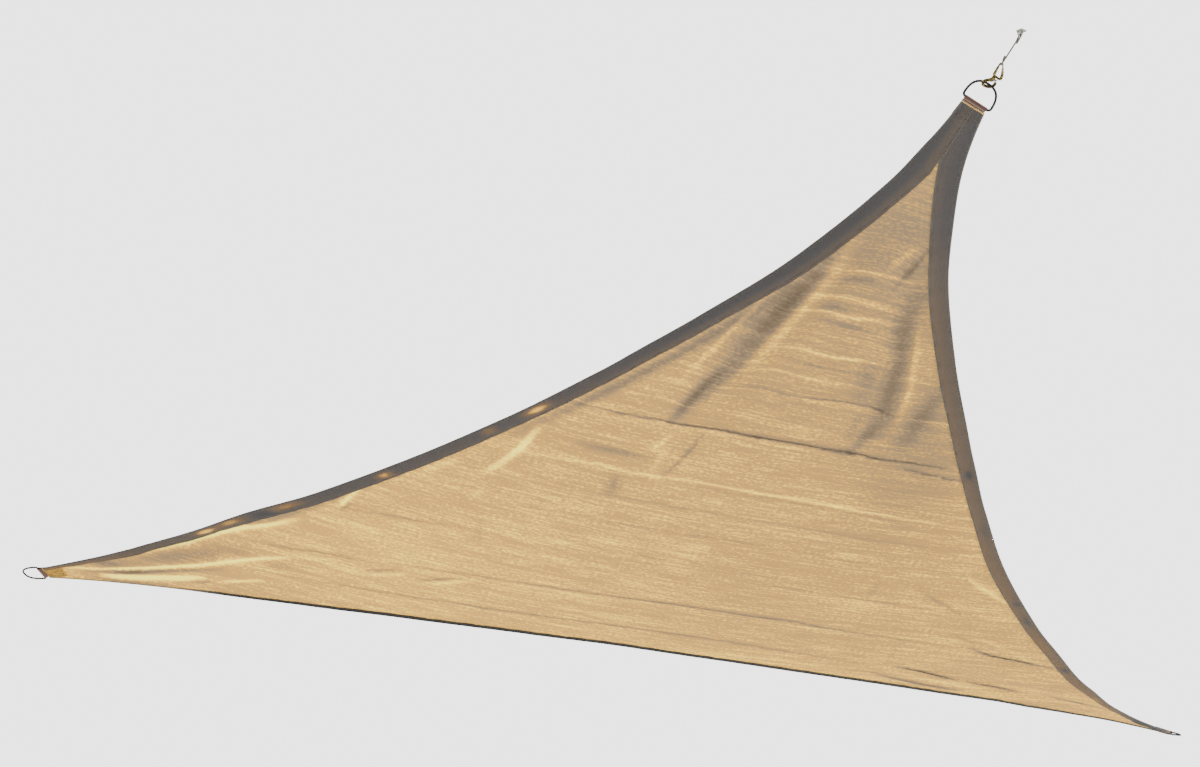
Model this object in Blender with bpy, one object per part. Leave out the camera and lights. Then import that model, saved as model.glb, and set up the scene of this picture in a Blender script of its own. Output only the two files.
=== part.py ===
"""Triangular shade sail of knitted cloth, held by D-rings, hung from a line and a snap hook.

The origin is the middle of the top fixing plate's upper face, +Z is up and the metre is the unit.
The sail is described on its plan: a flat equilateral triangle whose u axis runs along the far edge
and whose v axis runs from the near corner towards that edge. The cloth rises and sags off the plan.
"""
import bpy
import bmesh
import math
from mathutils import Matrix, Vector

# ---- the sail's size and how it hangs -------------------------------------------------------
SIDE = 3.66                             # corner to corner, ring bar to ring bar
ALTITUDE = SIDE * math.sqrt(3) / 2
HEADING = math.radians(13.1)            # the far edge's direction, turned from +X
FALL = math.radians(-12.5)              # slope from the near corner to the far edge
LEAN = math.radians(6.3)                # slope down along the far edge, left to right
BELLY = -0.073                          # sag in the middle of the cloth

# ---- cloth ----------------------------------------------------------------------------------
CLOTH = 0.0014                          # thickness of the single cloth
HEM = 0.0030                            # thickness of the turned hem
HEM_WIDTH = 0.056
HEM_STEP = 0.004                        # width of the slope from hem to single cloth
CORNER_WIDTH = 0.051                    # the sail's width at a ring bar
TWIST_REACH = 0.915                     # how far a corner's twist runs into the cloth
ROWS = 23                               # rows of faces from a corner to the middle
FIELD_COLUMNS = 11                      # columns from a hem to a corner's middle line
HEM_COLUMNS = 2
ROW_CROWDING = 1.35                     # rows lie closer together near a corner
APEX_POWER = 2.4                        # how late a row's middle runs ahead to the sail's middle
NARROWEST_FIELD = 0.004                 # width left between two hems that meet

# name, direction of the pull in the plan (degrees), twist of the corner (degrees), offset of the
# cloth's end, its webbing and its ring along the ring bar
CORNERS = {
    "top": (-90, -23.8, -0.002),
    "right": (30, 11.9, 0.0),
    "left": (150, -7.8, 0.0),
}

# start, end, bow: middle, skew, ends; rise: middle, skew, ends (metres, skew is towards the end)
EDGES = {
    "near_right": ("right", "top", 0.322, -0.026, -0.019, -0.013, 0.116, 0.002),
    "near_left": ("top", "left", 0.322, -0.108, -0.027, 0.083, -0.040, -0.015),
    "far": ("left", "right", 0.322, 0.010, 0.0, -0.080, 0.046, 0.0),
}

# Soft folds: from u, v; to u, v; half width, depth (a trough is negative, a ridge is positive)
FOLDS = {
    "long_trough": (-0.01, -1.62, -0.25, -0.52, 0.055, -0.011),
    "long_ridge": (0.07, -1.62, -0.13, -0.45, 0.050, 0.007),
    "right_trough": (0.10, -1.58, 0.23, -0.60, 0.050, -0.009),
    "short_trough": (0.105, -1.50, 0.095, -1.28, 0.030, -0.005),
    "left_ridge": (-1.56, 0.80, -1.05, 0.32, 0.035, 0.007),
    "left_trough": (-1.66, 0.95, -1.05, 0.60, 0.050, -0.008),
    "mid_left_ridge": (-0.53, -0.46, -0.67, -0.10, 0.045, 0.006),
    "right_corner_ridge": (1.60, 0.92, 0.75, 0.55, 0.045, 0.006),
}

# ---- corner webbing and rings ---------------------------------------------------------------
RING_WIRE = 0.002                       # radius of the ring's wire
RING_HALF_WIDTH = 0.0330                # to the wire's middle
RING_BAR = 0.0250                       # half the straight bar
RING_CORNER = 0.008
RING_BOW = 0.051                        # depth of the bow beyond the corners
RING_SQUARENESS = 0.8                   # one is an ellipse, less is squarer
RING_HEIGHT = RING_CORNER + RING_BOW
WEBBING = 0.0014                        # thickness
WEBBING_HALF = 0.0256
WEBBING_TAIL = 0.082
CLOTH_START = 0.014                     # from the ring bar to the cloth's end
GAP = 0.0003
BAR_HEIGHT = 0.0016                     # ring bar above the cloth's middle
TAIL_HEIGHT = HEM / 2 + GAP + WEBBING / 2
UPPER_TAIL_HEIGHT = TAIL_HEIGHT + WEBBING + GAP

# ---- snap hook, line and fixing, measured along the pull from the top ring's bar -------------
PULL_LIFT = math.radians(20)            # the pull rises above the corner's cloth
HOOK_TURN = math.radians(32)           # the hook stands oblique on the ring
HOOK_WIRE = 0.0024
HOOK_HEIGHT = 0.0088                    # half the loop's height, to the wire's middle
HOOK_WIDTH = 0.0128                     # half the loop's width
HOOK_SQUARENESS = 0.8
HOOK_ASIDE = -0.0018                    # the loop stands off the shank's axis
HOOK_PLAY = 0.0009
HOOK_CENTRE = RING_HEIGHT - RING_WIRE - HOOK_PLAY - HOOK_WIRE + HOOK_HEIGHT
BARREL = 0.0036                         # radius of the shank's barrel
BARREL_START = HOOK_CENTRE + 0.0119
BARREL_END = BARREL_START + 0.0070
GATE = 0.0013                           # radius of the spring gate
STUD = 0.0018                           # radius of the thumb stud's head
EYE_WIRE = 0.0013                       # radius of the swivel eye's legs
EYE_FOOT = 0.0022                       # radius of its foot bar
EYE_BEND = 0.0032                       # bend of the wire at the eye's tip, to the wire's middle
EYE_START = BARREL_END + 0.0040
EYE_TIP = EYE_START + 0.0370
LINE = 0.0014                           # radius of the hanging line
LINE_ASIDE = -0.001                     # the line stands off the shank's axis
LINE_TOP = 0.2048
STAPLE_WIRE = 0.0015
STAPLE_HALF = 0.0050
STAPLE_DROP = 0.0090
STAPLE_OFFSET = -0.003                  # the staple stands off the plate's middle
TOP_TURN = STAPLE_WIRE + GAP + LINE     # radius of the line's turn round the staple
LOW_TURN = EYE_WIRE + GAP + LINE        # radius of its turn round the eye's tip
PLATE_HALF_LENGTH = 0.012
PLATE_HALF_WIDTH = 0.0125
PLATE = 0.0025

# colour (linear), roughness, metallic
FINISHES = {
    "knitted_cloth": ((0.50, 0.40, 0.26), 0.85, 0.0),
    "dark_webbing": ((0.075, 0.050, 0.040), 0.80, 0.0),
    "black_steel": ((0.030, 0.030, 0.030), 0.35, 0.9),
    "pale_brass": ((0.62, 0.50, 0.26), 0.30, 1.0),
    "grey_line": ((0.16, 0.15, 0.13), 0.75, 0.0),
    "grey_steel": ((0.30, 0.30, 0.30), 0.40, 0.9),
}


# ---- the cloth's surface --------------------------------------------------------------------
def corner_axes(name):
    """Place of a corner on the plan, its outward direction and its sideways direction."""
    angle = math.radians(CORNERS[name][0])
    out = Vector((math.cos(angle), math.sin(angle)))
    return out * (2 * ALTITUDE / 3), out, Vector((-out.y, out.x))


CORNER_AXES = {name: corner_axes(name) for name in CORNERS}


def shares(point):
    """How much of a point on the plan belongs to each corner: one at it, nought on the far edge."""
    return {name: point.dot(axes[1]) / ALTITUDE + 1 / 3 for name, axes in CORNER_AXES.items()}


def fold_height(point):
    height = 0.0
    for u0, v0, u1, v1, width, depth in FOLDS.values():
        start = Vector((u0, v0))
        along = Vector((u1 - u0, v1 - v0))
        length = along.length
        along.normalize()
        run = (point - start).dot(along) / length
        if not 0 < run < 1:
            continue
        off = (point - start).dot(Vector((-along.y, along.x))) / width
        height += depth * math.exp(-off * off) * math.sin(math.pi * run) ** 0.7
    return height


def rise(point):
    """Height of the cloth's middle surface above the plan."""
    share = shares(point)
    height = 27 * share["top"] * share["left"] * share["right"] * BELLY
    for start, end, _, _, _, middle, skew, ends in EDGES.values():
        lead = share[end] - share[start]
        height += 4 * share[start] * share[end] * (middle + lead * skew + (1 - 5 * lead * lead) * ends)
    for name, (place, out, side) in CORNER_AXES.items():
        fade = max(0.0, 1 - (place - point).dot(out) / TWIST_REACH) ** 2
        height += (point - place).dot(side) * math.tan(math.radians(CORNERS[name][1])) * fade
    return height + fold_height(point)


HANG = (Matrix.Rotation(HEADING, 3, "Z") @ Matrix.Rotation(FALL, 3, "X") @ Matrix.Rotation(LEAN, 3, "Y"))


def hung(point):
    """A point of the cloth's middle surface, in the sail's own hung axes and origin."""
    return HANG @ Vector((point.x, point.y, rise(point)))


def surface_normal(point):
    step = 0.002
    across = hung(point + Vector((step, 0))) - hung(point - Vector((step, 0)))
    along = hung(point + Vector((0, step))) - hung(point - Vector((0, step)))
    return across.cross(along).normalized()


def corner_frame(name, lift=0.0):
    """Ring bar's middle and the bar, pull and upward directions at a corner."""
    place, out, side = CORNER_AXES[name]
    step = 0.01
    bar = (hung(place + side * step) - hung(place - side * step)).normalized()
    inward = (hung(place - out * step) - hung(place)).normalized()
    up = bar.cross(inward).normalized()
    pull = bar.cross(up).normalized()
    up, pull = (up * math.cos(lift) - pull * math.sin(lift), pull * math.cos(lift) + up * math.sin(lift))
    return hung(place) + surface_normal(place) * BAR_HEIGHT, bar, pull, up


# The line's top turns round the staple, so the fixing sets where the whole sail hangs.
TOP_BAR, TOP_SIDE, TOP_PULL, TOP_UP = corner_frame("top", PULL_LIFT)
STAPLE_LOW = Vector((STAPLE_OFFSET, 0, -PLATE - STAPLE_DROP))
SHIFT = STAPLE_LOW - (TOP_BAR + TOP_PULL * LINE_TOP + TOP_SIDE * LINE_ASIDE)


def on_cloth(point, height=0.0):
    """A point on the hung cloth, or off it along its normal, in the part's own frame."""
    place = hung(point) + SHIFT
    if height:
        place = place + surface_normal(point) * height
    return place


def edge_point(name, t):
    """Point on the cloth's bowed edge, on the plan."""
    start, end, middle, skew, ends = EDGES[name][:5]
    half = CORNER_WIDTH / 2
    place_0, _, side_0 = CORNER_AXES[start]
    place_1, _, side_1 = CORNER_AXES[end]
    p0 = place_0 + side_0 * (CORNERS[start][2] - half * math.cos(math.radians(CORNERS[start][1])))
    p1 = place_1 + side_1 * (CORNERS[end][2] + half * math.cos(math.radians(CORNERS[end][1])))
    lead = 2 * t - 1
    bow = 4 * t * (1 - t) * (middle + lead * skew + (1 - 5 * lead * lead) * ends)
    inward = -(place_0 + place_1).normalized()
    return p0.lerp(p1, t) + inward * bow


# ---- meshes ---------------------------------------------------------------------------------
def finish(name):
    material = bpy.data.materials.get(name)
    if material is None:
        colour, roughness, metallic = FINISHES[name]
        material = bpy.data.materials.new(name)
        material.use_nodes = True
        shader = material.node_tree.nodes["Principled BSDF"]
        shader.inputs["Base Color"].default_value = (*colour, 1)
        shader.inputs["Roughness"].default_value = roughness
        shader.inputs["Metallic"].default_value = metallic
        material.diffuse_color = (*colour, 1)
    return material


def add_object(name, bm, material, angle=35):
    bmesh.ops.recalc_face_normals(bm, faces=bm.faces)
    if bm.calc_volume(signed=True) < 0:
        bmesh.ops.reverse_faces(bm, faces=bm.faces)
    mesh = bpy.data.meshes.new(name)
    bm.to_mesh(mesh)
    bm.free()
    mesh.materials.append(finish(material))
    mesh.shade_smooth()
    mesh.set_sharp_from_angle(angle=math.radians(angle))
    item = bpy.data.objects.new(name, mesh)
    bpy.context.scene.collection.objects.link(item)
    return item


def tube(bm, points, radii, sides=8, closed=False):
    """Round bar along a line of points, closed on itself or with flat ends."""
    count = len(points)
    if not isinstance(radii, (list, tuple)):
        radii = [radii] * count
    ahead = [(points[(i + 1) % count] - points[i]) for i in range(count)]
    if closed:
        ways = [(ahead[i].normalized() + ahead[i - 1].normalized()).normalized() for i in range(count)]
    else:
        ways = [ahead[0]] + [ahead[i].normalized() + ahead[i - 1].normalized() for i in range(1, count - 1)]
        ways.append(ahead[count - 2])
        ways = [way.normalized() for way in ways]
    normal = ways[0].orthogonal().normalized()
    rings = []
    for i in range(count):
        if i:
            normal = ways[i - 1].rotation_difference(ways[i]) @ normal
        other = ways[i].cross(normal)
        ring = []
        for k in range(sides):
            turn = 2 * math.pi * (k + 0.5) / sides
            offset = normal * math.cos(turn) + other * math.sin(turn)
            ring.append(bm.verts.new(points[i] + offset * radii[i]))
        rings.append(ring)
    for i in range(count if closed else count - 1):
        first, second = rings[i], rings[(i + 1) % count]
        for k in range(sides):
            bm.faces.new((first[k], first[(k + 1) % sides], second[(k + 1) % sides], second[k]))
    if not closed:
        bm.faces.new(rings[0])
        bm.faces.new(rings[-1])


def smooth_path(knots, spacing):
    """Evenly spaced points on a smooth curve through the knots, which may carry a radius as well."""
    dense = []
    for i in range(len(knots) - 1):
        k0, k1, k2, k3 = (knots[max(0, min(len(knots) - 1, i + n))] for n in (-1, 0, 1, 2))
        for step in range(24):
            t = step / 24
            dense.append(0.5 * (2 * k1 + (k2 - k0) * t + (2 * k0 - 5 * k1 + 4 * k2 - k3) * t * t
                                + (3 * k1 - k0 - 3 * k2 + k3) * t * t * t))
    dense.append(knots[-1])
    lengths = [0.0]
    for a, b in zip(dense, dense[1:]):
        lengths.append(lengths[-1] + (b - a).length)
    steps = max(2, round(lengths[-1] / spacing))
    points = []
    at = 0
    for k in range(steps + 1):
        want = lengths[-1] * k / steps
        while at < len(dense) - 2 and lengths[at + 1] < want:
            at += 1
        share = (want - lengths[at]) / (lengths[at + 1] - lengths[at])
        points.append(dense[at].lerp(dense[at + 1], share))
    return points


# ---- cloth ----------------------------------------------------------------------------------
def half_row(edge, apex, slant):
    """Points from the cloth's edge to the corner's middle line, with their thickness."""
    length = (apex - edge).length
    hem = HEM_WIDTH / slant
    field = length - hem - HEM_STEP
    if field < NARROWEST_FIELD:
        hem = length - NARROWEST_FIELD
        step, thin = 0.0, HEM
    else:
        step, thin = HEM_STEP, CLOTH
    stations = [(hem * k / HEM_COLUMNS, HEM) for k in range(HEM_COLUMNS + 1)]
    start = hem + (step if step else NARROWEST_FIELD / (FIELD_COLUMNS + 1))
    for k in range(FIELD_COLUMNS + 1):
        stations.append((start + (length - start) * k / FIELD_COLUMNS, thin))
    return [(edge.lerp(apex, reach / length), thick) for reach, thick in stations]


def edge_slant(name, t, across):
    """How squarely a row meets the edge, as the cosine of its angle to the edge's normal."""
    along = (edge_point(name, t + 0.001) - edge_point(name, t - 0.001)).normalized()
    return max(0.2, abs(along.x * across.y - along.y * across.x))


def corner_fan(bm, name):
    """A corner's third of the cloth, as rows from its cut end to the sail's middle."""
    leaving = next(edge for edge, row in EDGES.items() if row[0] == name)
    arriving = next(edge for edge, row in EDGES.items() if row[1] == name)
    first = CLOTH_START / SIDE
    grid = []
    for i in range(ROWS + 1):
        t = first + (0.5 - first) * (i / ROWS) ** ROW_CROWDING
        left = edge_point(leaving, t)
        right = edge_point(arriving, 1 - t)
        apex = (left + right) / 2 * (1 - (i / ROWS) ** APEX_POWER)
        row = half_row(left, apex, edge_slant(leaving, t, (apex - left).normalized()))
        other = half_row(right, apex, edge_slant(arriving, 1 - t, (apex - right).normalized()))
        row += other[-2::-1]
        grid.append([(bm.verts.new(on_cloth(p, thick / 2)), bm.verts.new(on_cloth(p, -thick / 2)))
                     for p, thick in row])
    for upper, lower in zip(grid, grid[1:]):
        for k in range(len(upper) - 1):
            for layer in (0, 1):
                bm.faces.new((upper[k][layer], upper[k + 1][layer], lower[k + 1][layer], lower[k][layer]))
        for k in (0, -1):
            bm.faces.new((upper[k][0], upper[k][1], lower[k][1], lower[k][0]))
    end = grid[0]
    for k in range(len(end) - 1):
        bm.faces.new((end[k][0], end[k + 1][0], end[k + 1][1], end[k][1]))


def make_cloth():
    bm = bmesh.new()
    for name in CORNERS:
        corner_fan(bm, name)
    bmesh.ops.remove_doubles(bm, verts=bm.verts, dist=0.00002)
    add_object("sail_cloth", bm, "knitted_cloth", 60)


# ---- webbing --------------------------------------------------------------------------------
def webbing_line():
    """The strap's middle line: distance in from the ring bar, and height over the cloth."""
    loop = RING_WIRE + GAP + WEBBING / 2
    line = [(WEBBING_TAIL * k / 5 + CLOTH_START * (5 - k) / 5, TAIL_HEIGHT) for k in range(5, -1, -1)]
    for k in (4, 3, 2, 1):
        reach = k / 5
        ease = reach * reach * (3 - 2 * reach)
        line.append((CLOTH_START * reach, BAR_HEIGHT - loop + (TAIL_HEIGHT - BAR_HEIGHT + loop) * ease))
    for k in range(9):
        turn = math.pi * k / 8
        line.append((-loop * math.sin(turn), BAR_HEIGHT - loop * math.cos(turn)))
    for k in (1, 2, 3, 4, 5):
        reach = k / 5
        ease = reach * reach * (3 - 2 * reach)
        line.append((CLOTH_START * reach, BAR_HEIGHT + loop + (UPPER_TAIL_HEIGHT - BAR_HEIGHT - loop) * ease))
    line += [(WEBBING_TAIL * k / 5 + CLOTH_START * (5 - k) / 5, UPPER_TAIL_HEIGHT) for k in range(1, 6)]
    return line


def make_webbing(name):
    place, out, side = CORNER_AXES[name]
    line = webbing_line()
    inner, outer = [], []
    for k, (reach, height) in enumerate(line):
        before, after = line[max(0, k - 1)], line[min(len(line) - 1, k + 1)]
        way = Vector((after[0] - before[0], after[1] - before[1])).normalized() * (WEBBING / 2)
        inner.append((reach - way.y, height + way.x))
        outer.append((reach + way.y, height - way.x))
    outline = outer + inner[::-1]
    steps = 4
    half = WEBBING_HALF * math.cos(math.radians(CORNERS[name][1]))
    bm = bmesh.new()
    slices = []
    for k in range(steps + 1):
        off = side * (half * (2 * k / steps - 1) + CORNERS[name][2])
        slices.append([bm.verts.new(on_cloth(place + off - out * reach, height))
                       for reach, height in outline])
    count = len(outline)
    for a, b in zip(slices, slices[1:]):
        for k in range(count):
            bm.faces.new((a[k], a[(k + 1) % count], b[(k + 1) % count], b[k]))
    last = len(line)
    for ends in (slices[0], slices[-1]):
        for k in range(last - 1):
            bm.faces.new((ends[k], ends[k + 1], ends[count - 2 - k], ends[count - 1 - k]))
    add_object("webbing_" + name, bm, "dark_webbing", 50)


# ---- rings ----------------------------------------------------------------------------------
def squared_circle(angle, power):
    """Across and along on a circle whose sides are drawn out towards a square."""
    across, along = math.cos(angle), math.sin(angle)
    return (math.copysign(abs(across) ** power, across), math.copysign(abs(along) ** power, along))


def ring_outline():
    """The D's middle line: sideways along the bar, and out along the pull."""
    line = [(RING_BAR * k / 2, 0.0) for k in range(-2, 3)]
    for k in range(1, 4):
        turn = math.pi / 2 * k / 4
        line.append((RING_BAR + RING_CORNER * math.sin(turn), RING_CORNER * (1 - math.cos(turn))))
    for k in range(25):
        across, along = squared_circle(math.pi * k / 24, RING_SQUARENESS)
        line.append((RING_HALF_WIDTH * across, RING_CORNER + RING_BOW * along))
    for k in (3, 2, 1):
        turn = math.pi / 2 * k / 4
        line.append((-RING_BAR - RING_CORNER * math.sin(turn), RING_CORNER * (1 - math.cos(turn))))
    return line


def make_ring(name):
    middle, bar, pull, up = corner_frame(name, PULL_LIFT if name == "top" else 0.0)
    bm = bmesh.new()
    points = [middle + SHIFT + bar * (x + CORNERS[name][2]) + pull * y for x, y in ring_outline()]
    tube(bm, points, RING_WIRE, 8, closed=True)
    add_object("ring_" + name, bm, "black_steel")


# ---- snap hook ------------------------------------------------------------------------------
def pull_point(reach, sideways=0.0, upward=0.0):
    """A point along the pull from the top ring's bar, with offsets along the bar and upward."""
    return TOP_BAR + SHIFT + TOP_PULL * reach + TOP_SIDE * sideways + TOP_UP * upward


def hook_point(reach, sideways):
    """A point in the hook's own plane, which is turned about the pull."""
    return pull_point(reach, sideways * math.cos(HOOK_TURN), sideways * math.sin(HOOK_TURN))


def union(target, other):
    """Joins two closed bodies into one and drops the second."""
    joined = target.modifiers.new("join", "BOOLEAN")
    joined.operation = "UNION"
    joined.solver = "EXACT"
    joined.object = other
    bpy.context.view_layer.update()
    mesh = bpy.data.meshes.new_from_object(target.evaluated_get(bpy.context.evaluated_depsgraph_get()))
    target.modifiers.clear()
    target.data = mesh
    bpy.data.objects.remove(other, do_unlink=True)


def hook_loop(degrees):
    """Reach and sideways place on the hook's loop, counted from its mouth's side."""
    across, along = squared_circle(math.radians(degrees), HOOK_SQUARENESS)
    return HOOK_CENTRE + HOOK_HEIGHT * along, HOOK_ASIDE + HOOK_WIDTH * across


def make_hook():
    knots = []
    for reach, radius in ((BARREL_END, BARREL), (BARREL_END - 0.003, BARREL), (BARREL_START, BARREL)):
        knots.append(Vector((reach, 0.0, radius)))
    for turn in range(118, 392, 21):
        reach, side = hook_loop(turn)
        knots.append(Vector((reach, side, HOOK_WIRE - (0.0005 if turn > 370 else 0.0))))
    path = smooth_path(knots, 0.0026)
    bm = bmesh.new()
    tube(bm, [hook_point(p.x, p.y) for p in path], [p.z for p in path], 10)
    add_object("snap_hook", bm, "pale_brass")


def make_gate():
    """Spring gate from the barrel's side to the hook's bill, with its thumb stud."""
    low, high = Vector((HOOK_CENTRE + 0.0073, 0.0078)), Vector((BARREL_START + 0.0020, BARREL + 0.0024))
    bm = bmesh.new()
    tube(bm, [hook_point(*low.lerp(high, k / 4)) for k in range(5)], GATE, 8)
    gate = add_object("snap_gate", bm, "pale_brass")
    bm = bmesh.new()
    foot = low.lerp(high, 0.45)
    out = Vector((low.y - high.y, high.x - low.x)).normalized()
    tube(bm, [hook_point(*foot), hook_point(*(foot + out * 0.0028)), hook_point(*(foot + out * 0.0042))],
         [0.0010, 0.0010, STUD], 8)
    union(gate, add_object("snap_stud", bm, "pale_brass"))


def make_eye():
    """Swivel eye above the barrel: a wire bent to a drawn-out triangle, bulging to one side."""
    bend = EYE_TIP - EYE_BEND
    knots = [(EYE_START, 0.001, EYE_FOOT), (EYE_START - 0.0006, 0.006, EYE_FOOT),
             (EYE_START - 0.0008, 0.0105, EYE_FOOT), (EYE_START + 0.0012, 0.0136, 0.0020),
             (EYE_START + 0.0060, 0.0140, 0.0016), (EYE_START + 0.0130, 0.0122, EYE_WIRE),
             (EYE_START + 0.0210, 0.0088, EYE_WIRE), (EYE_START + 0.0280, 0.0052, EYE_WIRE)]
    for turn in (0, 36, 72, 108, 144, 180):
        angle = math.radians(turn)
        knots.append((bend + EYE_BEND * math.sin(angle), LINE_ASIDE + EYE_BEND * math.cos(angle), EYE_WIRE))
    knots += [(EYE_START + 0.0240, -0.0040, EYE_WIRE), (EYE_START + 0.0120, -0.0036, EYE_WIRE),
              (EYE_START + 0.0040, -0.0030, 0.0016), (EYE_START + 0.0006, -0.0016, 0.0020),
              (EYE_START, 0.001, EYE_FOOT)]
    path = smooth_path([Vector(knot) for knot in knots], 0.0030)[:-1]
    bm = bmesh.new()
    tube(bm, [pull_point(p.x, p.y) for p in path], [p.z for p in path], 8, closed=True)
    eye = add_object("snap_eye", bm, "pale_brass")
    bm = bmesh.new()
    start = BARREL_END + GAP
    tube(bm, [pull_point(start), pull_point(start + 0.0010), pull_point(EYE_START, 0.0005)],
         [0.0030, 0.0028, 0.0016], 8)
    union(eye, add_object("snap_stem", bm, "pale_brass"))


# ---- line and fixing ------------------------------------------------------------------------
def make_line():
    """One line: a turn round the staple, the straight part, and a turn round the eye's tip."""
    level = Vector((TOP_PULL.y, -TOP_PULL.x, 0)).normalized()
    over = level.cross(TOP_PULL).normalized()
    twin = 2 * (LINE + GAP)

    def top(reach, upward=0.0):
        return pull_point(LINE_TOP + reach, LINE_ASIDE) + over * upward

    def low(reach, sideways=0.0, upward=0.0):
        return pull_point(EYE_TIP + reach, LINE_ASIDE + sideways, upward)

    knots = [top(-0.018, -twin - 0.0006), top(-0.013, -twin - 0.0006), top(-0.007, -TOP_TURN * 1.15)]
    for k in range(7):
        turn = math.pi * k / 6
        knots.append(top(TOP_TURN * math.sin(turn), -TOP_TURN * math.cos(turn)))
    knots += [top(-0.007, TOP_TURN * 0.7), top(-0.015, 0.0006), top(-0.022)]
    knots += [low(0.040), low(0.022), low(0.014, 0, 0.0006), low(0.007, 0, LOW_TURN * 0.75)]
    for k in range(7):
        turn = math.pi * k / 6
        knots.append(low(-LOW_TURN * math.sin(turn), 0, LOW_TURN * math.cos(turn)))
    knots += [low(0.006, -0.0004, -LOW_TURN * 1.1), low(0.010, -0.0016, -0.0034),
              low(0.014, -0.0029, -0.0022), low(0.020, -0.0035, -0.0008)]
    bm = bmesh.new()
    tube(bm, smooth_path(knots, 0.0030), LINE, 8)
    add_object("hanging_line", bm, "grey_line")


def make_fixing():
    """Lozenge plate with a staple under it, made as one forging."""
    bm = bmesh.new()
    corners = [(PLATE_HALF_LENGTH, 0), (0, PLATE_HALF_WIDTH), (-PLATE_HALF_LENGTH, 0), (0, -PLATE_HALF_WIDTH)]
    outline = []
    for k, (x, y) in enumerate(corners):
        before, after = Vector(corners[k - 1]), Vector(corners[(k + 1) % 4])
        here = Vector((x, y))
        for near, share in ((before, 0.22), (before, 0.08), (after, 0.08), (after, 0.22)):
            blend = 0.06 if share < 0.1 else 0.0
            outline.append(here.lerp(near, share) * (1 - blend))
    upper = [bm.verts.new((p.x, p.y, 0)) for p in outline]
    lower = [bm.verts.new((p.x, p.y, -PLATE)) for p in outline]
    bm.faces.new(upper)
    bm.faces.new(lower)
    for k in range(len(outline)):
        bm.faces.new((upper[k - 1], upper[k], lower[k], lower[k - 1]))
    plate = add_object("fixing_plate", bm, "grey_steel")
    bm = bmesh.new()
    level = Vector((TOP_PULL.y, -TOP_PULL.x, 0)).normalized()
    knee = STAPLE_LOW.z + STAPLE_HALF
    points = [level * -STAPLE_HALF + Vector((STAPLE_OFFSET, 0, -PLATE / 2))]
    for k in range(9):
        turn = math.pi * k / 8
        drop = Vector((STAPLE_OFFSET, 0, knee - STAPLE_HALF * math.sin(turn)))
        points.append(level * (-STAPLE_HALF * math.cos(turn)) + drop)
    points.append(level * STAPLE_HALF + Vector((STAPLE_OFFSET, 0, -PLATE / 2)))
    tube(bm, points, STAPLE_WIRE, 8)
    union(plate, add_object("fixing_staple", bm, "grey_steel"))


def main():
    for item in list(bpy.data.objects):
        bpy.data.objects.remove(item, do_unlink=True)
    make_cloth()
    for name in CORNERS:
        make_webbing(name)
        make_ring(name)
    make_hook()
    make_gate()
    make_eye()
    make_line()
    make_fixing()


main()
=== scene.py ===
"""Dresses a hung shade sail: knitted cloth, turned hems, corner straps, rings, snap, line and stage.

The cloth is described on its plan, a flat triangle whose u axis runs along the far edge and whose v
axis runs from the near corner towards that edge. All lengths are metres in the part's own frame.
"""

import math

import bmesh
import bpy
import numpy as np
from mathutils import Matrix, Vector
from mathutils.geometry import delaunay_2d_cdt
from mathutils.kdtree import KDTree


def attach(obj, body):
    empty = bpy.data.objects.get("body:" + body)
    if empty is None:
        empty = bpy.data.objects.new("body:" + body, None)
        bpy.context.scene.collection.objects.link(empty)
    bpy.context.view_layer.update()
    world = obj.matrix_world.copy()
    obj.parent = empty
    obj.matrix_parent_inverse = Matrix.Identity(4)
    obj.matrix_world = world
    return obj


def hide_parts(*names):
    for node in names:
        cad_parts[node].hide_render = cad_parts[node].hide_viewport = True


bl_info = {
    "name": "Shade Sail",
    "version": (1, 0, 0),
    "blender": (4, 5, 0),
    "location": "View3D > Sidebar > Shade Sail",
    "description": "Dresses a hung triangular shade sail with cloth, hems, straps, rings, snap and line",
    "category": "Object",
}

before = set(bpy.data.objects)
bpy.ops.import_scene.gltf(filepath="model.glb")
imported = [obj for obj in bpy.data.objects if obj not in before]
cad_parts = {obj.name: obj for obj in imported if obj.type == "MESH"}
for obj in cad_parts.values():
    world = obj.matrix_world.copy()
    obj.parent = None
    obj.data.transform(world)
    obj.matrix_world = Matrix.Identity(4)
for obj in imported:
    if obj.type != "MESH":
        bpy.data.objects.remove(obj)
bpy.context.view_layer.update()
BODY = "root"
MM = 0.001

# ---- the hung shape ----
SIDE = 3.66
ALTITUDE = SIDE * math.sqrt(3) / 2
HEADING, FALL, LEAN = math.radians(13.1), math.radians(-12.5), math.radians(6.3)
BELLY = -0.073
CORNER_WIDTH = 0.051
CLOTH_START = 0.014
TWIST_REACH = 0.915

# Name, direction of the pull in the plan (degrees), twist (degrees), offset along the ring bar
CORNERS = {
    "top": (-90, -23.8, -0.002),
    "right": (30, 11.9, 0.0),
    "left": (150, -7.8, 0.0),
}
# Start, end, bow: middle, skew, ends; rise: middle, skew, ends
EDGES = {
    "near_right": ("right", "top", 0.322, -0.026, -0.019, -0.013, 0.116, 0.002),
    "near_left": ("top", "left", 0.322, -0.108, -0.027, 0.083, -0.040, -0.015),
    "far": ("left", "right", 0.322, 0.010, 0.0, -0.080, 0.046, 0.0),
}
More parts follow.
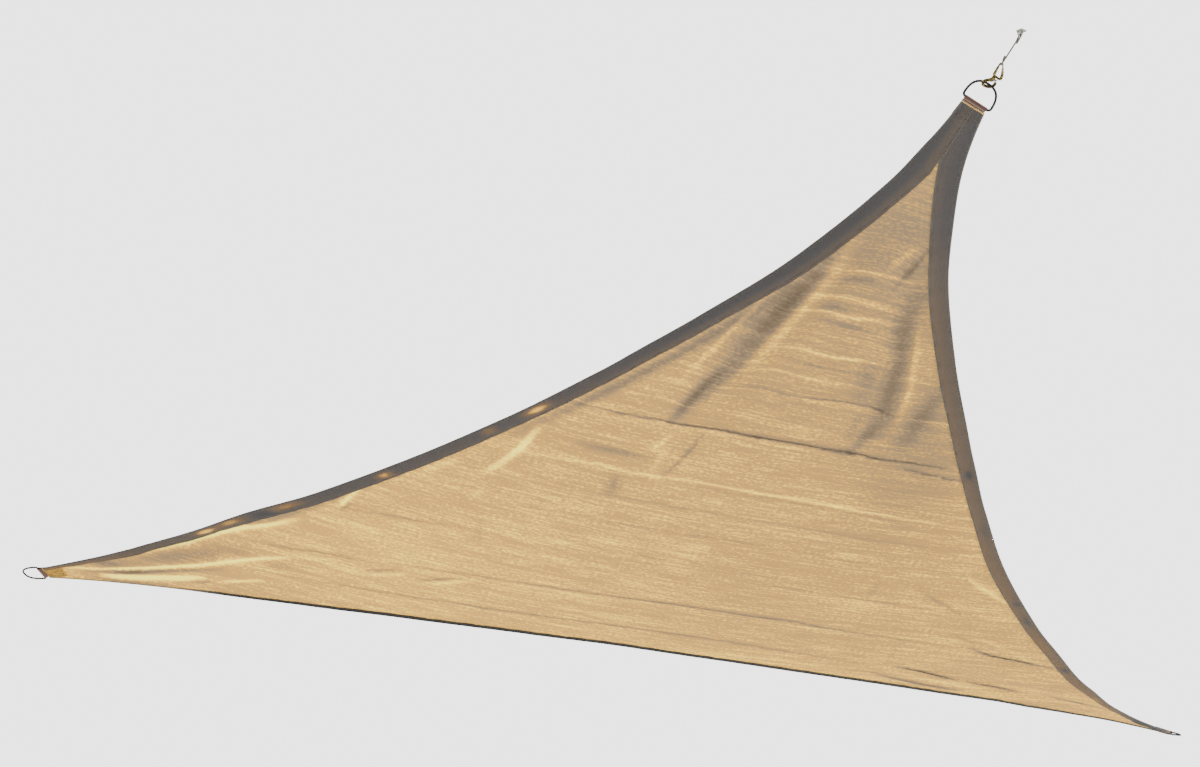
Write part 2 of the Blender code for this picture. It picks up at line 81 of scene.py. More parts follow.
# Broad folds: u0, v0, u1, v1, half width, depth (a trough is negative, a ridge is positive)
FOLDS = {
    "long_trough": (-0.01, -1.62, -0.25, -0.52, 0.055, -0.011),
    "long_ridge": (0.07, -1.62, -0.13, -0.45, 0.050, 0.007),
    "right_trough": (0.10, -1.58, 0.23, -0.60, 0.050, -0.009),
    "short_trough": (0.105, -1.50, 0.095, -1.28, 0.030, -0.005),
    "left_ridge": (-1.56, 0.80, -1.05, 0.32, 0.035, 0.007),
    "left_trough": (-1.66, 0.95, -1.05, 0.60, 0.050, -0.008),
    "mid_left_ridge": (-0.53, -0.46, -0.67, -0.10, 0.045, 0.006),
    "right_corner_ridge": (1.60, 0.92, 0.75, 0.55, 0.045, 0.006),
}
# Creases and small folds, all in millimetres: half width, depth, tone (painted shade is negative,
# painted highlight positive), then the crease's line on the plan, u and v in turn.
CREASES = {
    "streak": (26, -1.5, -0.27, -80, -1450, -94, -1310, -147, -1070, -190, -838, -238, -656, -258, -560),
    "streak_broad": (42, -0.5, -0.11, -130, -1250, -170, -1160, -215, -980, -245, -800),
    "streak_top": (38, -0.6, -0.1, -75, -1420, -105, -1250, -155, -1020),
    "streak_foot": (14, -1.2, -0.25, -196, -860, -222, -770, -246, -650, -266, -535),
    "streak_edge": (9, -0.8, -0.09, -72, -1280, -126, -1070, -168, -850, -214, -690),
    "streak_right": (17, 1.5, 0.22, -55, -1500, -62, -1300, -100, -1050, -140, -850),
    "streak_left": (7, 1.2, 0.22, -155, -1230, -185, -1146, -243, -896, -285, -740),
    "second": (30, -1.5, -0.28, 151, -1360, 161, -1185, 209, -1010, 228, -877, 249, -740, 238, -600),
    "second_right": (8, 1.2, 0.26, 200, -1180, 238, -1050, 275, -896, 298, -720),
    "second_shade": (30, -0.6, -0.2, 355, -980, 345, -800, 335, -600),
    "second_foot": (17, -1, -0.17, 238, -730, 222, -610, 198, -540),
    "second_left": (24, -0.5, -0.15, 143, -1050, 151, -935, 172, -800),
    "second_strand": (10, -0.8, -0.12, 188, -780, 190, -610),
    "third": (7, -1.2, -0.18, 112, -1510, 103, -1406, 95, -1300),
    "third_left": (6, 0.8, 0.16, 88, -1500, 58, -1360),
    "top_cross": (6, 0.8, 0.26, -120, -1343, 20, -1336, 70, -1348, 160, -1358),
    "top_cross_low": (14, -0.8, -0.12, -40, -1300, 50, -1305),
    "cross_2": (7, 0.8, 0.24, -90, -1215, 160, -1222),
    "cross_2_low": (15, -0.8, -0.16, -50, -1168, 30, -1172),
    "cross_3": (6, 0.8, 0.28, -110, -1151, 20, -1141, 90, -1158, 170, -1172),
    "cross_3_low": (12, -0.8, -0.14, -50, -1108, 120, -1112),
    "cross_4": (6, 0.8, 0.24, -140, -973, 60, -973, 200, -1000),
    "cross_4_low": (6, -0.8, -0.14, -100, -918, 220, -938),
    "cross_5": (5, 0.8, 0.2, -150, -862, 200, -873),
    "cross_6": (4, -1, -0.24, -210, -781, 20, -781, 200, -808, 270, -773, 400, -778),
    "cross_6_low": (6, 0.8, 0.14, -200, -766, 200, -788, 420, -760),
    "cross_7": (5, 0.6, 0.1, -330, -645, -150, -650, 300, -650),
    "pack_1": (5, -1.6, -0.44, -560, -540, -426, -545, -262, -564, -30, -574, 228, -581, 295, -569,
        390, -574, 560, -558),
    "pack_1_low": (5, 0.8, 0.12, -300, -545, 100, -556, 320, -550),
    "pack_1_end": (4, -1.2, -0.26, 360, -545, 410, -536, 580, -515),
    "tail_1": (5, -0.8, -0.22, -165, -550, -180, -450, -220, -290),
    "tail_2": (7, 0.8, 0.16, -236, -520, -285, -400),
    "tail_3": (8, 0.8, 0.16, -243, -440, -252, -300),
    "hem_shade": (17, -0.6, -0.3, -135, -1258, -213, -1053, -314, -855, -424, -663, -540, -476, -660, -292),
    "hem_shade_low": (13, -0.6, -0.26, -1010, 180, -1076, 268, -1143, 356, -1211, 443, -1281, 530),
    # Painted shade along two shallow troughs
    "shaded_trough_1": (16, -1, -0.22, -480, -368, -340, -378, -250, -375),
    "shaded_trough_2": (20, -1, -0.2, -335, -280, -330, -150),
    "faint_1": (5, 0.5, 0.08, -530, -424, -300, -443),
    "faint_2": (5, 0.5, 0.08, -20, -460, 520, -455),
    "pack_2": (5, 1.2, 0.3, -720, -250, -593, -263, -390, -296, -307, -289, -164, -311, 110, -317,
        380, -305, 700, -284),
    "pack_2_low": (8, -0.8, -0.1, -200, -290, 120, -297, 600, -272),
    "row_1": (5, -0.5, -0.1, -500, -155, 0, -180, 750, -165),
    "row_2": (5, 0.5, 0.08, -720, -125, -200, -140, 400, -142),
    "row_3": (6, -0.6, -0.12, -620, -5, -20, -49, 280, -49, 550, -20),
    "row_4": (5, -0.5, -0.09, -450, 115, 400, 120),
    "row_5": (4, -0.8, -0.14, 100, 163, 600, 174, 820, 207),
    "pack_3": (5, -1, -0.18, -1030, 245, -890, 219, -620, 171),
    "pack_4": (5, -1.2, -0.3, -860, 486, -747, 457, -557, 427, -283, 398, -21, 376, 336, 371, 443, 388,
        600, 404, 937, 427),
    "pack_4_low": (7, 0.8, 0.08, -550, 447, -20, 394),
    "pack_4_end": (6, -1.8, -0.5, 910, 420, 1000, 463, 1100, 485, 1230, 525),
    "pack_4_start": (4, -0.8, -0.22, -1260, 560, -1162, 550, -1037, 517, -850, 494),
    "pack_5": (5, -1, -0.24, -1190, 720, -950, 683, -664, 642, -378, 610, -105, 585, 193, 582, 500, 612,
        740, 625),
    "wrinkle_1": (6, -1.4, -0.24, -745, 542, -635, 473),
    "wrinkle_2": (7, 1.4, 0.2, -710, 553, -590, 470),
    "wrinkle_3": (6, -1.4, -0.22, -900, 556, -800, 503),
    "wrinkle_4": (7, 1.2, 0.18, -890, 583, -780, 525),
    "wrinkle_5": (6, 1, 0.16, -1080, 578, -970, 533),
    "gather_1": (6, -2.6, -0.5, 740, 622, 830, 642, 985, 700),
    "gather_2": (6, -2.4, -0.4, 1000, 702, 1110, 732, 1210, 768),
    "gather_3": (10, -2.4, -0.5, 700, 702, 800, 735, 900, 765, 1040, 795),
    "gather_3_high": (10, 1.4, 0.12, 720, 668, 950, 735, 1150, 790),
    "gather_4": (7, -1.2, -0.34, 1300, 780, 1400, 806, 1510, 835),
    "gather_5": (8, -0.8, -0.14, 620, 688, 750, 705),
    "slant_1": (8, 1.2, 0.3, 740, -30, 810, 30, 940, 125),
    "slant_2": (7, -0.9, -0.14, 630, 75, 740, 150, 820, 215),
    "slant_3": (8, -1, -0.14, 830, 335, 930, 395),
    "slant_4": (8, 1, 0.14, 920, 350, 1060, 430),
    "slant_5": (9, 0.9, 0.12, 1050, 430, 1280, 580),
    "upright_1": (6, -0.5, -0.08, -630, 80, -625, 240),
    "upright_2": (6, -0.5, -0.08, 510, 40, 512, 220),
    "upright_3": (5, -0.4, -0.07, 700, 440, 715, 620),
    "glint": (10, 2.2, 0.5, -572, -410, -600, -270, -640, -174, -675, -110),
    "glint_low": (9, 1.2, 0.18, -740, -160, -840, -40),
    "glint_end": (8, 0.8, 0.14, -660, -40, -680, 20),
    "hook": (5, 2, 0.6, -982, 130, -1024, 252),
    "hook_shade": (6, -1, -0.16, -985, 200, -1020, 275),
    "ridge_hem": (10, 2.6, 0.75, -1120, 375, -1187, 450, -1287, 533, -1337, 583, -1437, 692, -1560, 808),
    "left_grey": (32, -2.2, -0.24, -1600, 870, -1500, 800, -1340, 680, -1220, 600),
    "left_line": (6, 3, 0.8, -1775, 995, -1660, 950, -1537, 875, -1370, 767, -1237, 667, -1110, 585),
    "left_dark": (12, -2.4, -0.34, -1730, 996, -1580, 925, -1470, 850, -1290, 745),
    "left_gleam": (13, 3, 1.1, -1660, 992, -1537, 942, -1420, 883, -1340, 840),
    "left_gleam_2": (8, 1.8, 0.5, -1350, 882, -1287, 842, -1170, 768),
    "left_furrow": (7, -1.4, -0.24, -1430, 915, -1330, 865, -1200, 805),
    "left_foot": (7, -1.2, -0.22, -1700, 1020, -1550, 980, -1400, 935),
    "left_patch": (16, -0.8, -0.12, -1190, 665, -1100, 640),
}
# Creases narrower than the first get stronger painted shade and highlight; narrower than the second, they get
# closer points.
SHARP_CREASE, NARROW_CREASE = 8 * MM, 13 * MM
SHARP_TONE = 1.35
# Broad painted shade (negative) and painted light (positive): place, half widths, amount
PATCHES = {
    "near_corner": (0.08, -1.50, 0.30, 0.46, -0.22),
    "near_middle": (0.10, -0.75, 0.40, 0.24, -0.07),
    "right_upper": (0.42, -0.60, 0.16, 0.40, -0.13),
    "left_half": (-0.85, 0.40, 0.55, 0.45, 0.08),
    "far_band": (0.35, 0.76, 1.10, 0.085, 0.08),
    "right_corner": (1.25, 0.72, 0.35, 0.22, -0.03),
    "left_corner": (-1.797, 1.037, 0.045, 0.035, 0.10),
    "left_upper": (-1.66, 0.900, 0.14, 0.036, -0.34),
}
# Widths of the hems along their edges: share of the edge, millimetres
HEM_WIDTHS = {
    "near_left": ((0, 56), (0.1, 54), (0.2, 52), (0.3, 49), (0.4, 45), (0.5, 43), (0.6, 43), (0.7, 43),
        (0.77, 46), (0.84, 42), (0.9, 32), (0.96, 20), (1, 10)),
    "near_right": ((0, 40), (0.035, 38), (0.06, 26), (0.1, 26), (0.16, 37), (0.3, 39), (0.4, 43), (0.5, 41),
        (0.6, 45), (0.8, 48), (0.9, 52), (1, 56)),
    "far": ((0, 6), (0.1, 8), (0.14, 18), (0.3, 25), (0.8, 27), (0.93, 27), (1, 30)),
}
# How far the hems stand out from the even bow: share of the edge, millimetres
HEM_WAVES = {
    "near_left": ((0, 0), (0.05, -3), (0.1, -9), (0.2, -6), (0.3, 2), (0.35, 3), (0.4, -1), (0.5, -7),
        (0.6, -10), (0.7, -10), (0.78, 2), (0.85, -7), (0.93, -4), (1, 0)),
    "near_right": ((0, 0), (0.06, -9), (0.1, -11), (0.145, -3), (0.17, -5), (0.24, 2), (0.3, -3),
        (0.42, -10), (0.5, -5), (0.57, 1), (0.62, 3), (0.7, 0), (0.8, -4), (0.87, 0), (0.93, -2), (1, 0)),
    "far": ((0, 0), (0.1, 2), (0.16, 7), (0.22, 4), (0.3, -1), (0.4, -8), (0.47, -15), (0.55, -9),
        (0.65, -4), (0.77, -4), (0.82, -7), (0.86, 5), (0.9, 5), (0.94, -3), (1, 0)),
}
# The hem's painted shade, grey against brown: share of the edge, outer half, inner half
HEM_GREYS = {
    "near_left": ((0, 1, 0.8), (0.08, 1.1, 0.75), (0.3, 1.1, 0.7), (0.45, 0.9, 0.75), (0.75, 0.9, 0.85),
        (0.88, 0.75, 0.7), (0.96, 0.5, 0.3), (1, 0, 0)),
    "near_right": ((0, 1.9, 1.9), (0.04, 1.7, 1.7), (0.06, 0.8, 0.6), (0.085, 0.3, 0.1), (0.3, 0.42, 0.25),
        (0.6, 0.6, 0.4), (0.75, 0.7, 0.5), (0.9, 1, 0.8), (1, 1, 0.9)),
    "far": ((0, 0, 0), (0.12, 0.3, 0.1), (0.15, 2, 1.9), (0.93, 2, 1.9), (1, 2, 2)),
}
# Thin and doubled spots of the hems, as painted light and shade: share of the edge, share of the hem's width,
# half length, grey
HEM_LIGHT_AND_SHADE_SPOTS = {
    "near_left": ((0.47, 0.45, 0.011, -2.2), (0.52, 0.4, 0.006, -0.9), (0.635, 0.55, 0.007, -1.7),
        (0.74, 0.35, 0.016, -1.3), (0.8, 0.35, 0.014, -1.5), (0.83, 0.45, 0.01, -2.2),
        (0.765, 0.55, 0.01, 0.5)),
    "near_right": ((0.2, 0.5, 0.005, 0.9), (0.31, 0.5, 0.01, 0.6), (0.345, 0.4, 0.006, 0.6),
        (0.47, 0.5, 0.01, 0.3), (0.555, 0.5, 0.006, 0.8), (0.12, 0.6, 0.01, -0.4),
        (0.26, 0.6, 0.016, -0.3)),
    "far": (),
}

# ---- fittings, as the frame has them ----
# Wires, the line, the gate, its stud and the barrel are given by their half thickness.
RING_WIRE, RING_HALF_WIDTH, RING_BAR, RING_CORNER, RING_BOW = 0.002, 0.033, 0.025, 0.008, 0.051
RING_HEIGHT = RING_CORNER + RING_BOW
RING_COAT = 0.0006
WEBBING, WEBBING_HALF, WEBBING_TAIL = 0.0014, 0.0256, 0.082
HEM_HALF = 0.0015
GAP = 0.0003
BAR_HEIGHT = 0.0016
TAIL_HEIGHT = HEM_HALF + GAP + WEBBING / 2
UPPER_TAIL_HEIGHT = TAIL_HEIGHT + WEBBING + GAP
PULL_LIFT = math.radians(20)
HOOK_TURN = math.radians(32)
HOOK_WIRE, HOOK_HEIGHT, HOOK_WIDTH, HOOK_ASIDE, HOOK_PLAY = 0.0024, 0.0088, 0.0128, -0.0018, 0.0009
HOOK_CENTRE = RING_HEIGHT - RING_WIRE - HOOK_PLAY - HOOK_WIRE + HOOK_HEIGHT
# Drawn stouter than in the frame: the hook's bend is lower and its wire thicker, as are barrel and eye.
HOOK_DROP, HOOK_SWELL, SWELL = 0.0010, 1.35, 1.15
SQUARENESS = 0.8
BARREL = 0.0036
BARREL_START = HOOK_CENTRE + 0.0119
BARREL_END = BARREL_START + 0.0070
GATE, STUD = 0.0013, 0.0018
EYE_WIRE, EYE_FOOT, EYE_BEND = 0.0013, 0.0022, 0.0032
EYE_START = BARREL_END + 0.0040
EYE_TIP = EYE_START + 0.0370
LINE, LINE_ASIDE, LINE_TOP = 0.0017, -0.001, 0.2048
STRANDS, STRAND_DEPTH = 3, 0.12
STAPLE_WIRE, STAPLE_HALF, STAPLE_DROP, STAPLE_OFFSET = 0.0015, 0.0050, 0.0090, -0.003
TOP_TURN = STAPLE_WIRE + GAP + LINE
LOW_TURN = EYE_WIRE + GAP + LINE
PLATE_HALF_LENGTH, PLATE_HALF_WIDTH, PLATE = 0.012, 0.0125, 0.0025
# The box of stitches: its near and far ends from the ring's bar, and its half width
STITCH_BOX = (0.019, 0.070, 0.0205)
# Stitches: pitch, length and half thickness
HEM_STITCH, CORNER_STITCH = (0.011, 0.0085, 0.0004), (0.0042, 0.0033, 0.00035)


def hex_colour(text):
    """An sRGB hex colour as linear red, green and blue."""
    parts = [int(text[k:k + 2], 16) / 255 for k in (1, 3, 5)]
    return tuple(c / 12.92 if c <= 0.04045 else ((c + 0.055) / 1.055) ** 2.4 for c in parts)


def colour_property(name, description, text):
    return bpy.props.FloatVectorProperty(name=name, description=description, subtype="COLOR",
                                         size=3, min=0, max=1, default=hex_colour(text))


def length_property(name, description, default):
    return bpy.props.FloatProperty(name=name, description=description, default=default, min=0,
                                   unit="LENGTH", precision=4)


# ---- what a user would change ----
class ClothSettings(bpy.types.PropertyGroup):
    thickness: length_property("Thickness", "Thickness of the single knitted cloth", 0.0014)
    hem_thickness: length_property("Hem thickness", "Thickness of the turned hem", 0.0030)
    hem_scale: bpy.props.FloatProperty(name="Hem width", description="Width of the hems against the table",
                                       default=1.0, min=0.2, max=2)
    row_pitch: length_property("Row pitch", "Spacing of the knit rows as drawn", 0.006)
    yarn: colour_property("Yarn", "Tint of the whole cloth", "#FFFFFF")
    lit: colour_property("Cut end", "Colour of the cut end in the viewport", "#F2D9A4")
    hem: colour_property("Hem", "Colour of the turned hem in the viewport", "#75695C")
    # Painted shade at the hem's outer fold and in its seam groove
    fold: colour_property("Edge fold", "Colour of the outermost fold", "#1E1B19")
    thread: colour_property("Thread", "Colour of the sewing thread", "#3A312B")


class StrapSettings(bpy.types.PropertyGroup):
    rib_pitch: length_property("Rib pitch", "Spacing of the webbing's ribs", 0.0022)
    webbing: colour_property("Webbing", "Colour of the corner straps", "#43241C")


class FittingSettings(bpy.types.PropertyGroup):
    # The rings are drawn near black: painted shade, for steel that shows dark against the light.
    ring: colour_property("Rings", "Colour of the coated rings", "#121111")
    steel: colour_property("Bare steel", "Colour where the coat is worn through", "#8C8A86")
    brass: colour_property("Brass", "Colour of the plated snap", "#8E7F4C")
    tarnish: colour_property("Tarnish", "Colour in the snap's recesses", "#2E2813")
    line: colour_property("Line", "Colour of the hanging line", "#3E3D38")
    plate: colour_property("Plate", "Colour of the fixing plate", "#8D8E8A")
    lay: length_property("Lay", "Length of one turn of the line's strands", 0.009)


class StageSettings(bpy.types.PropertyGroup):
    floor: colour_property("Floor", "Colour of the floor", "#E9E8E4")
    floor_drop: length_property("Floor depth", "Floor's depth below the fixing plate", 3.5)
    sun: bpy.props.FloatProperty(name="Sun", description="Strength of the light from above",
                                 default=8.0, min=0)
    sky: bpy.props.FloatProperty(name="Sky", description="Strength of the even light", default=1.05, min=0)
    lens: bpy.props.FloatProperty(name="Lens", description="Focal length", default=75, unit="CAMERA")
    pitch: bpy.props.FloatProperty(name="Pitch", description="How far the camera looks up",
                                   default=math.radians(15), subtype="ANGLE")


# ---- the cloth's surface ----
TWISTS = {name: math.radians(row[1]) for name, row in CORNERS.items()}


def corner_axes(name):
    """Place of a corner on the plan, its outward direction and its sideways direction."""
    angle = math.radians(CORNERS[name][0])
    out = np.array((math.cos(angle), math.sin(angle)))
    return out * (2 * ALTITUDE / 3), out, np.array((-out[1], out[0]))


CORNER_AXES = {name: corner_axes(name) for name in CORNERS}
HANG = np.array(Matrix.Rotation(HEADING, 3, "Z") @ Matrix.Rotation(FALL, 3, "X")
                @ Matrix.Rotation(LEAN, 3, "Y"))


def fold_height(points):
    """Height that the broad folds give to points of the plan."""
    height = np.zeros(points.shape[:-1])
    for u0, v0, u1, v1, width, depth in FOLDS.values():
        along = np.array((u1 - u0, v1 - v0))
        length = np.hypot(*along)
        along = along / length
        from_start = points - np.array((u0, v0))
        run = np.clip(from_start @ along / length, 0, 1)
        off = from_start @ np.array((-along[1], along[0])) / width
        height += depth * np.exp(-off * off) * np.sin(math.pi * run) ** 0.7
    return height


def runs(points):
    """How far along a line each of its points lies."""
    return np.concatenate([[0], np.cumsum(np.linalg.norm(np.diff(points, axis=0), axis=1))])


def crease_lines():
    """Half width, depth, tone and plan line of every crease, in metres."""
    for width, depth, amount, *line in CREASES.values():
        yield width * MM, depth * MM, amount, np.array(line, float).reshape(-1, 2) * MM


def crease_field(points):
    """Height, and painted shade and highlight as tone, that the creases and patches give to points of the
    plan.
    """
    height, tone = np.zeros(points.shape[:-1]), np.zeros(points.shape[:-1])
    for width, depth, amount, line in crease_lines():
        starts = runs(line)
        near = np.full(points.shape[:-1], np.inf)
        run = np.zeros(points.shape[:-1])
        for k, span in enumerate(np.diff(starts)):
            along = (line[k + 1] - line[k]) / span
            reach = np.clip((points - line[k]) @ along, 0, span)
            gap = np.linalg.norm(points - line[k] - along * reach[..., None], axis=-1)
            closer = gap < near
            near = np.where(closer, gap, near)
            run = np.where(closer, starts[k] + reach, run)
        shape = np.exp(-(near / width) ** 2) * np.sin(math.pi * np.clip(run / starts[-1], 0, 1)) ** 0.6
        height += depth * shape
        tone += amount * shape * (SHARP_TONE if width < SHARP_CREASE else 1.0)
    for u, v, half_u, half_v, amount in PATCHES.values():
        tone += amount * np.exp(-((points[..., 0] - u) / half_u) ** 2 - ((points[..., 1] - v) / half_v) ** 2)
    return height, tone


def eased(share, knots):
    """Values between the knots of a table, with no corners."""
    knots = np.array(knots, float)
    places = knots[:, 0]
    k = np.clip(np.searchsorted(places, share, side="right") - 1, 0, len(places) - 2)
    way = np.clip((share - places[k]) / (places[k + 1] - places[k]), 0, 1)[..., None]
    way = way * way * (3 - 2 * way)
    values = knots[k, 1:] + (knots[k + 1, 1:] - knots[k, 1:]) * way
    return values[..., 0] if values.shape[-1] == 1 else values


def rise(points, fine):
    """Height of the cloth's middle surface above the plan, with its fine creases where asked."""
    share = {name: points @ axes[1] / ALTITUDE + 1 / 3 for name, axes in CORNER_AXES.items()}
    height = 27 * share["top"] * share["left"] * share["right"] * BELLY
    for start, end, _, _, _, middle, skew, ends in EDGES.values():
        lead = share[end] - share[start]
        arch = middle + lead * skew + (1 - 5 * lead * lead) * ends
        height = height + 4 * share[start] * share[end] * arch
    for name, (place, out, side) in CORNER_AXES.items():
        fade = np.maximum(0, 1 - (place - points) @ out / TWIST_REACH) ** 2
        height = height + (points - place) @ side * math.tan(TWISTS[name]) * fade
    height = height + fold_height(points)
    if fine:
        height = height + crease_field(points)[0]
    return height


def hung(points, fine=False):
    """Points of the cloth's middle surface in the sail's hung axes."""
    points = np.asarray(points, float)
    return np.concatenate([points, rise(points, fine)[..., None]], axis=-1) @ HANG.T


def unit(vectors):
    """The vectors at a length of one."""
    return vectors / np.linalg.norm(vectors, axis=-1, keepdims=True)


def surface_normal(points):
    """Upward direction square to the cloth, without its fine creases."""
    step = 0.002
    points = np.asarray(points, float)
    across = hung(points + (step, 0)) - hung(points - (step, 0))
    along = hung(points + (0, step)) - hung(points - (0, step))
    return unit(np.cross(across, along))


def corner_frame(name, lift=0.0):
    """Ring bar's middle and the bar, pull and upward directions at a corner."""
    place, out, side = CORNER_AXES[name]
    step = 0.01
    bar = unit(hung(place + side * step) - hung(place - side * step))
    inward = unit(hung(place - out * step) - hung(place))
    up = unit(np.cross(bar, inward))
    pull = unit(np.cross(bar, up))
    up, pull = (up * math.cos(lift) - pull * math.sin(lift), pull * math.cos(lift) + up * math.sin(lift))
    return hung(place) + surface_normal(place) * BAR_HEIGHT, bar, pull, up


TOP_BAR, TOP_SIDE, TOP_PULL, TOP_UP = corner_frame("top", PULL_LIFT)
STAPLE_LOW = np.array((STAPLE_OFFSET, 0, -PLATE - STAPLE_DROP))
# The plan's origin in the part's own frame, so that the line's upper turn hangs in the staple
SHIFT = STAPLE_LOW - (TOP_BAR + TOP_PULL * LINE_TOP + TOP_SIDE * LINE_ASIDE)


def on_cloth(points, heights=0.0, fine=False):
    """Points on the hung cloth, or off it along its normal, in the part's own frame."""
    heights = np.broadcast_to(np.asarray(heights, float), np.asarray(points).shape[:-1])
    return hung(points, fine) + SHIFT + surface_normal(points) * heights[..., None]


def edge_point(name, t):
    """Points on the cloth's bowed edge, on the plan, for shares t of its length."""
    start, end, middle, skew, ends = EDGES[name][:5]
    t = np.asarray(t, float)[..., None]
    place_0, _, side_0 = CORNER_AXES[start]
    place_1, _, side_1 = CORNER_AXES[end]
    half = CORNER_WIDTH / 2
    p0 = place_0 + side_0 * (CORNERS[start][2] - half * math.cos(TWISTS[start]))
    p1 = place_1 + side_1 * (CORNERS[end][2] + half * math.cos(TWISTS[end]))
    lead = 2 * t - 1
    bow = 4 * t * (1 - t) * (middle + lead * skew + (1 - 5 * lead * lead) * ends)
    return p0 + (p1 - p0) * t + unit(-(place_0 + place_1)) * bow


def pull_point(reach, sideways=0.0, upward=0.0):
    """A point along the pull from the top ring's bar, with offsets along the bar and upward."""
    return Vector(TOP_BAR + SHIFT + TOP_PULL * reach + TOP_SIDE * sideways + TOP_UP * upward)


def hook_point(reach, sideways):
    """A point of the hook, which is turned about the pull."""
    return pull_point(reach, sideways * math.cos(HOOK_TURN), sideways * math.sin(HOOK_TURN))


# ---- meshes ----
def put(name, data):
    """A new item of the scene from its mesh, lamp or lens."""
    item = bpy.data.objects.new(name, data)
    bpy.context.scene.collection.objects.link(item)
    return item


def add_piece(name, points, faces, materials, face_slots=None, maps=None, values=None, angle=40):
    """A mesh piece from points and faces, with its maps in metres, smooth up to an angle."""
    mesh = bpy.data.meshes.new(name)
    mesh.from_pydata([tuple(p) for p in points], [], [tuple(f) for f in faces])
    loop_points = np.zeros(len(mesh.loops), np.int32)
    mesh.loops.foreach_get("vertex_index", loop_points)
    for map_name, places in (maps or {}).items():
        layer = mesh.uv_layers.new(name=map_name)
        layer.data.foreach_set("uv", np.asarray(places, np.float32)[loop_points].ravel())
    for value_name, amounts in (values or {}).items():
        layer = mesh.attributes.new(value_name, "FLOAT", "POINT")
        layer.data.foreach_set("value", np.asarray(amounts, np.float32))
    for material in materials:
        mesh.materials.append(material)
    if face_slots is not None:
        mesh.polygons.foreach_set("material_index", np.asarray(face_slots, np.int32))
    mesh.shade_smooth()
    mesh.set_sharp_from_angle(angle=math.radians(angle))
    mesh.validate()
    item = put(name, mesh)
    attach(item, BODY)
    return item


def skin(rings, sides, closed=False):
    """Faces between rings of points, with caps unless the last ring joins the first."""
    faces = []
    for i in range(rings if closed else rings - 1):
        j = (i + 1) % rings
        for k in range(sides):
            m = (k + 1) % sides
            faces.append((i * sides + k, i * sides + m, j * sides + m, j * sides + k))
    if not closed:
        faces += [tuple(range(sides))[::-1], tuple((rings - 1) * sides + k for k in range(sides))]
    return faces


def tube_parts(points, radii, sides=16, closed=False, lobes=0, lobe_depth=0.0, lay=0.01):
    """Points, faces and map of a round bar; lobes make it a twisted line of that many strands."""
    points = [Vector(p) for p in points]
    count = len(points)
    radii = list(radii) if hasattr(radii, "__len__") else [radii] * count
    ahead = [points[(i + 1) % count] - points[i] for i in range(count)]
    ways = [(ahead[i].normalized() + ahead[i - 1].normalized()).normalized() for i in range(count)]
    if not closed:
        ways[0], ways[-1] = ahead[0].normalized(), ahead[-2].normalized()
    normal = ways[0].orthogonal().normalized()
    verts, places, run = [], [], 0.0
    for i in range(count):
        if i:
            normal = ways[i - 1].rotation_difference(ways[i]) @ normal
            run += ahead[i - 1].length
        other = ways[i].cross(normal)
        for k in range(sides):
            turn = 2 * math.pi * k / sides
            radius = radii[i]
            if lobes:
                crest = abs(math.cos(lobes * (turn + 2 * math.pi * run / lay) / 2))
                radius *= 1 - lobe_depth + lobe_depth * crest
            verts.append(points[i] + (normal * math.cos(turn) + other * math.sin(turn)) * radius)
            places.append((run, radii[i] * turn))
    return verts, skin(count, sides, closed), places


def join_parts(parts):
    """Several lists of points, faces and map places as one."""
    points, faces, places = [], [], []
    for more_points, more_faces, more_places in parts:
        start = len(points)
        points += list(more_points)
        faces += [tuple(start + k for k in face) for face in more_faces]
        places += list(more_places)
    return points, faces, places


def smooth_path(knots, spacing):
    """Evenly spaced points on a smooth curve through the knots, which may carry a radius as well."""
    dense, steps = [], 24
    for i in range(len(knots) - 1):
        k0, k1, k2, k3 = (knots[max(0, min(len(knots) - 1, i + n))] for n in (-1, 0, 1, 2))
        for step in range(steps):
            t = step / steps
            dense.append(0.5 * (2 * k1 + (k2 - k0) * t + (2 * k0 - 5 * k1 + 4 * k2 - k3) * t * t
                                + (3 * k1 - k0 - 3 * k2 + k3) * t * t * t))
    dense.append(knots[-1])
    lengths = runs(dense)
    wanted = np.linspace(0, lengths[-1], max(3, round(lengths[-1] / spacing) + 1))
    columns = [np.interp(wanted, lengths, [p[axis] for p in dense]) for axis in range(len(knots[0]))]
    return [Vector(values) for values in zip(*columns)]


def union(target, other):
    """Joins two closed bodies into one and drops the second."""
    joined = target.modifiers.new("join", "BOOLEAN")
    joined.operation = "UNION"
    joined.solver = "EXACT"
    joined.object = other
    bpy.context.view_layer.update()
    mesh = bpy.data.meshes.new_from_object(target.evaluated_get(bpy.context.evaluated_depsgraph_get()))
    target.modifiers.clear()
    target.data = mesh
    bpy.data.objects.remove(other, do_unlink=True)
    mesh.shade_smooth()
    mesh.set_sharp_from_angle(angle=math.radians(40))


def sew(points, normals, pitch, stitch, thread):
    """Parts of a row of stitches along a line: each dips into the cloth at both its ends."""
    points, normals = np.asarray(points, float), np.asarray(normals, float)
    lengths, parts = runs(points), []
    for k in range(int(lengths[-1] / pitch)):
        shares = (k + 0.5) * pitch + stitch * np.array((-0.5, -0.3, 0.3, 0.5))
        lift = thread * np.array((-0.9, 0.35, 0.35, -0.9))
        spots, ways = (np.stack([np.interp(shares, lengths, values[:, axis]) for axis in range(3)], axis=1)
                       for values in (points, normals))
        parts.append(tube_parts(spots + ways * lift[:, None], thread, 5))
    return parts


# ---- materials ----
def add_node(tree, kind, inputs=None, **settings):
    """Adds a shader node; its inputs are values, sockets, or nodes to link the first output of."""
    node = tree.nodes.new("ShaderNode" + kind)
    for key, value in settings.items():
        setattr(node, key, value)
    for key, value in (inputs or {}).items():
        if isinstance(value, bpy.types.Node):
            value = value.outputs[0]
        if isinstance(value, bpy.types.NodeSocket):
            tree.links.new(value, node.inputs[key])
        else:
            node.inputs[key].default_value = value
    return node


MULTIPLY = {"data_type": "RGBA", "blend_type": "MULTIPLY"}


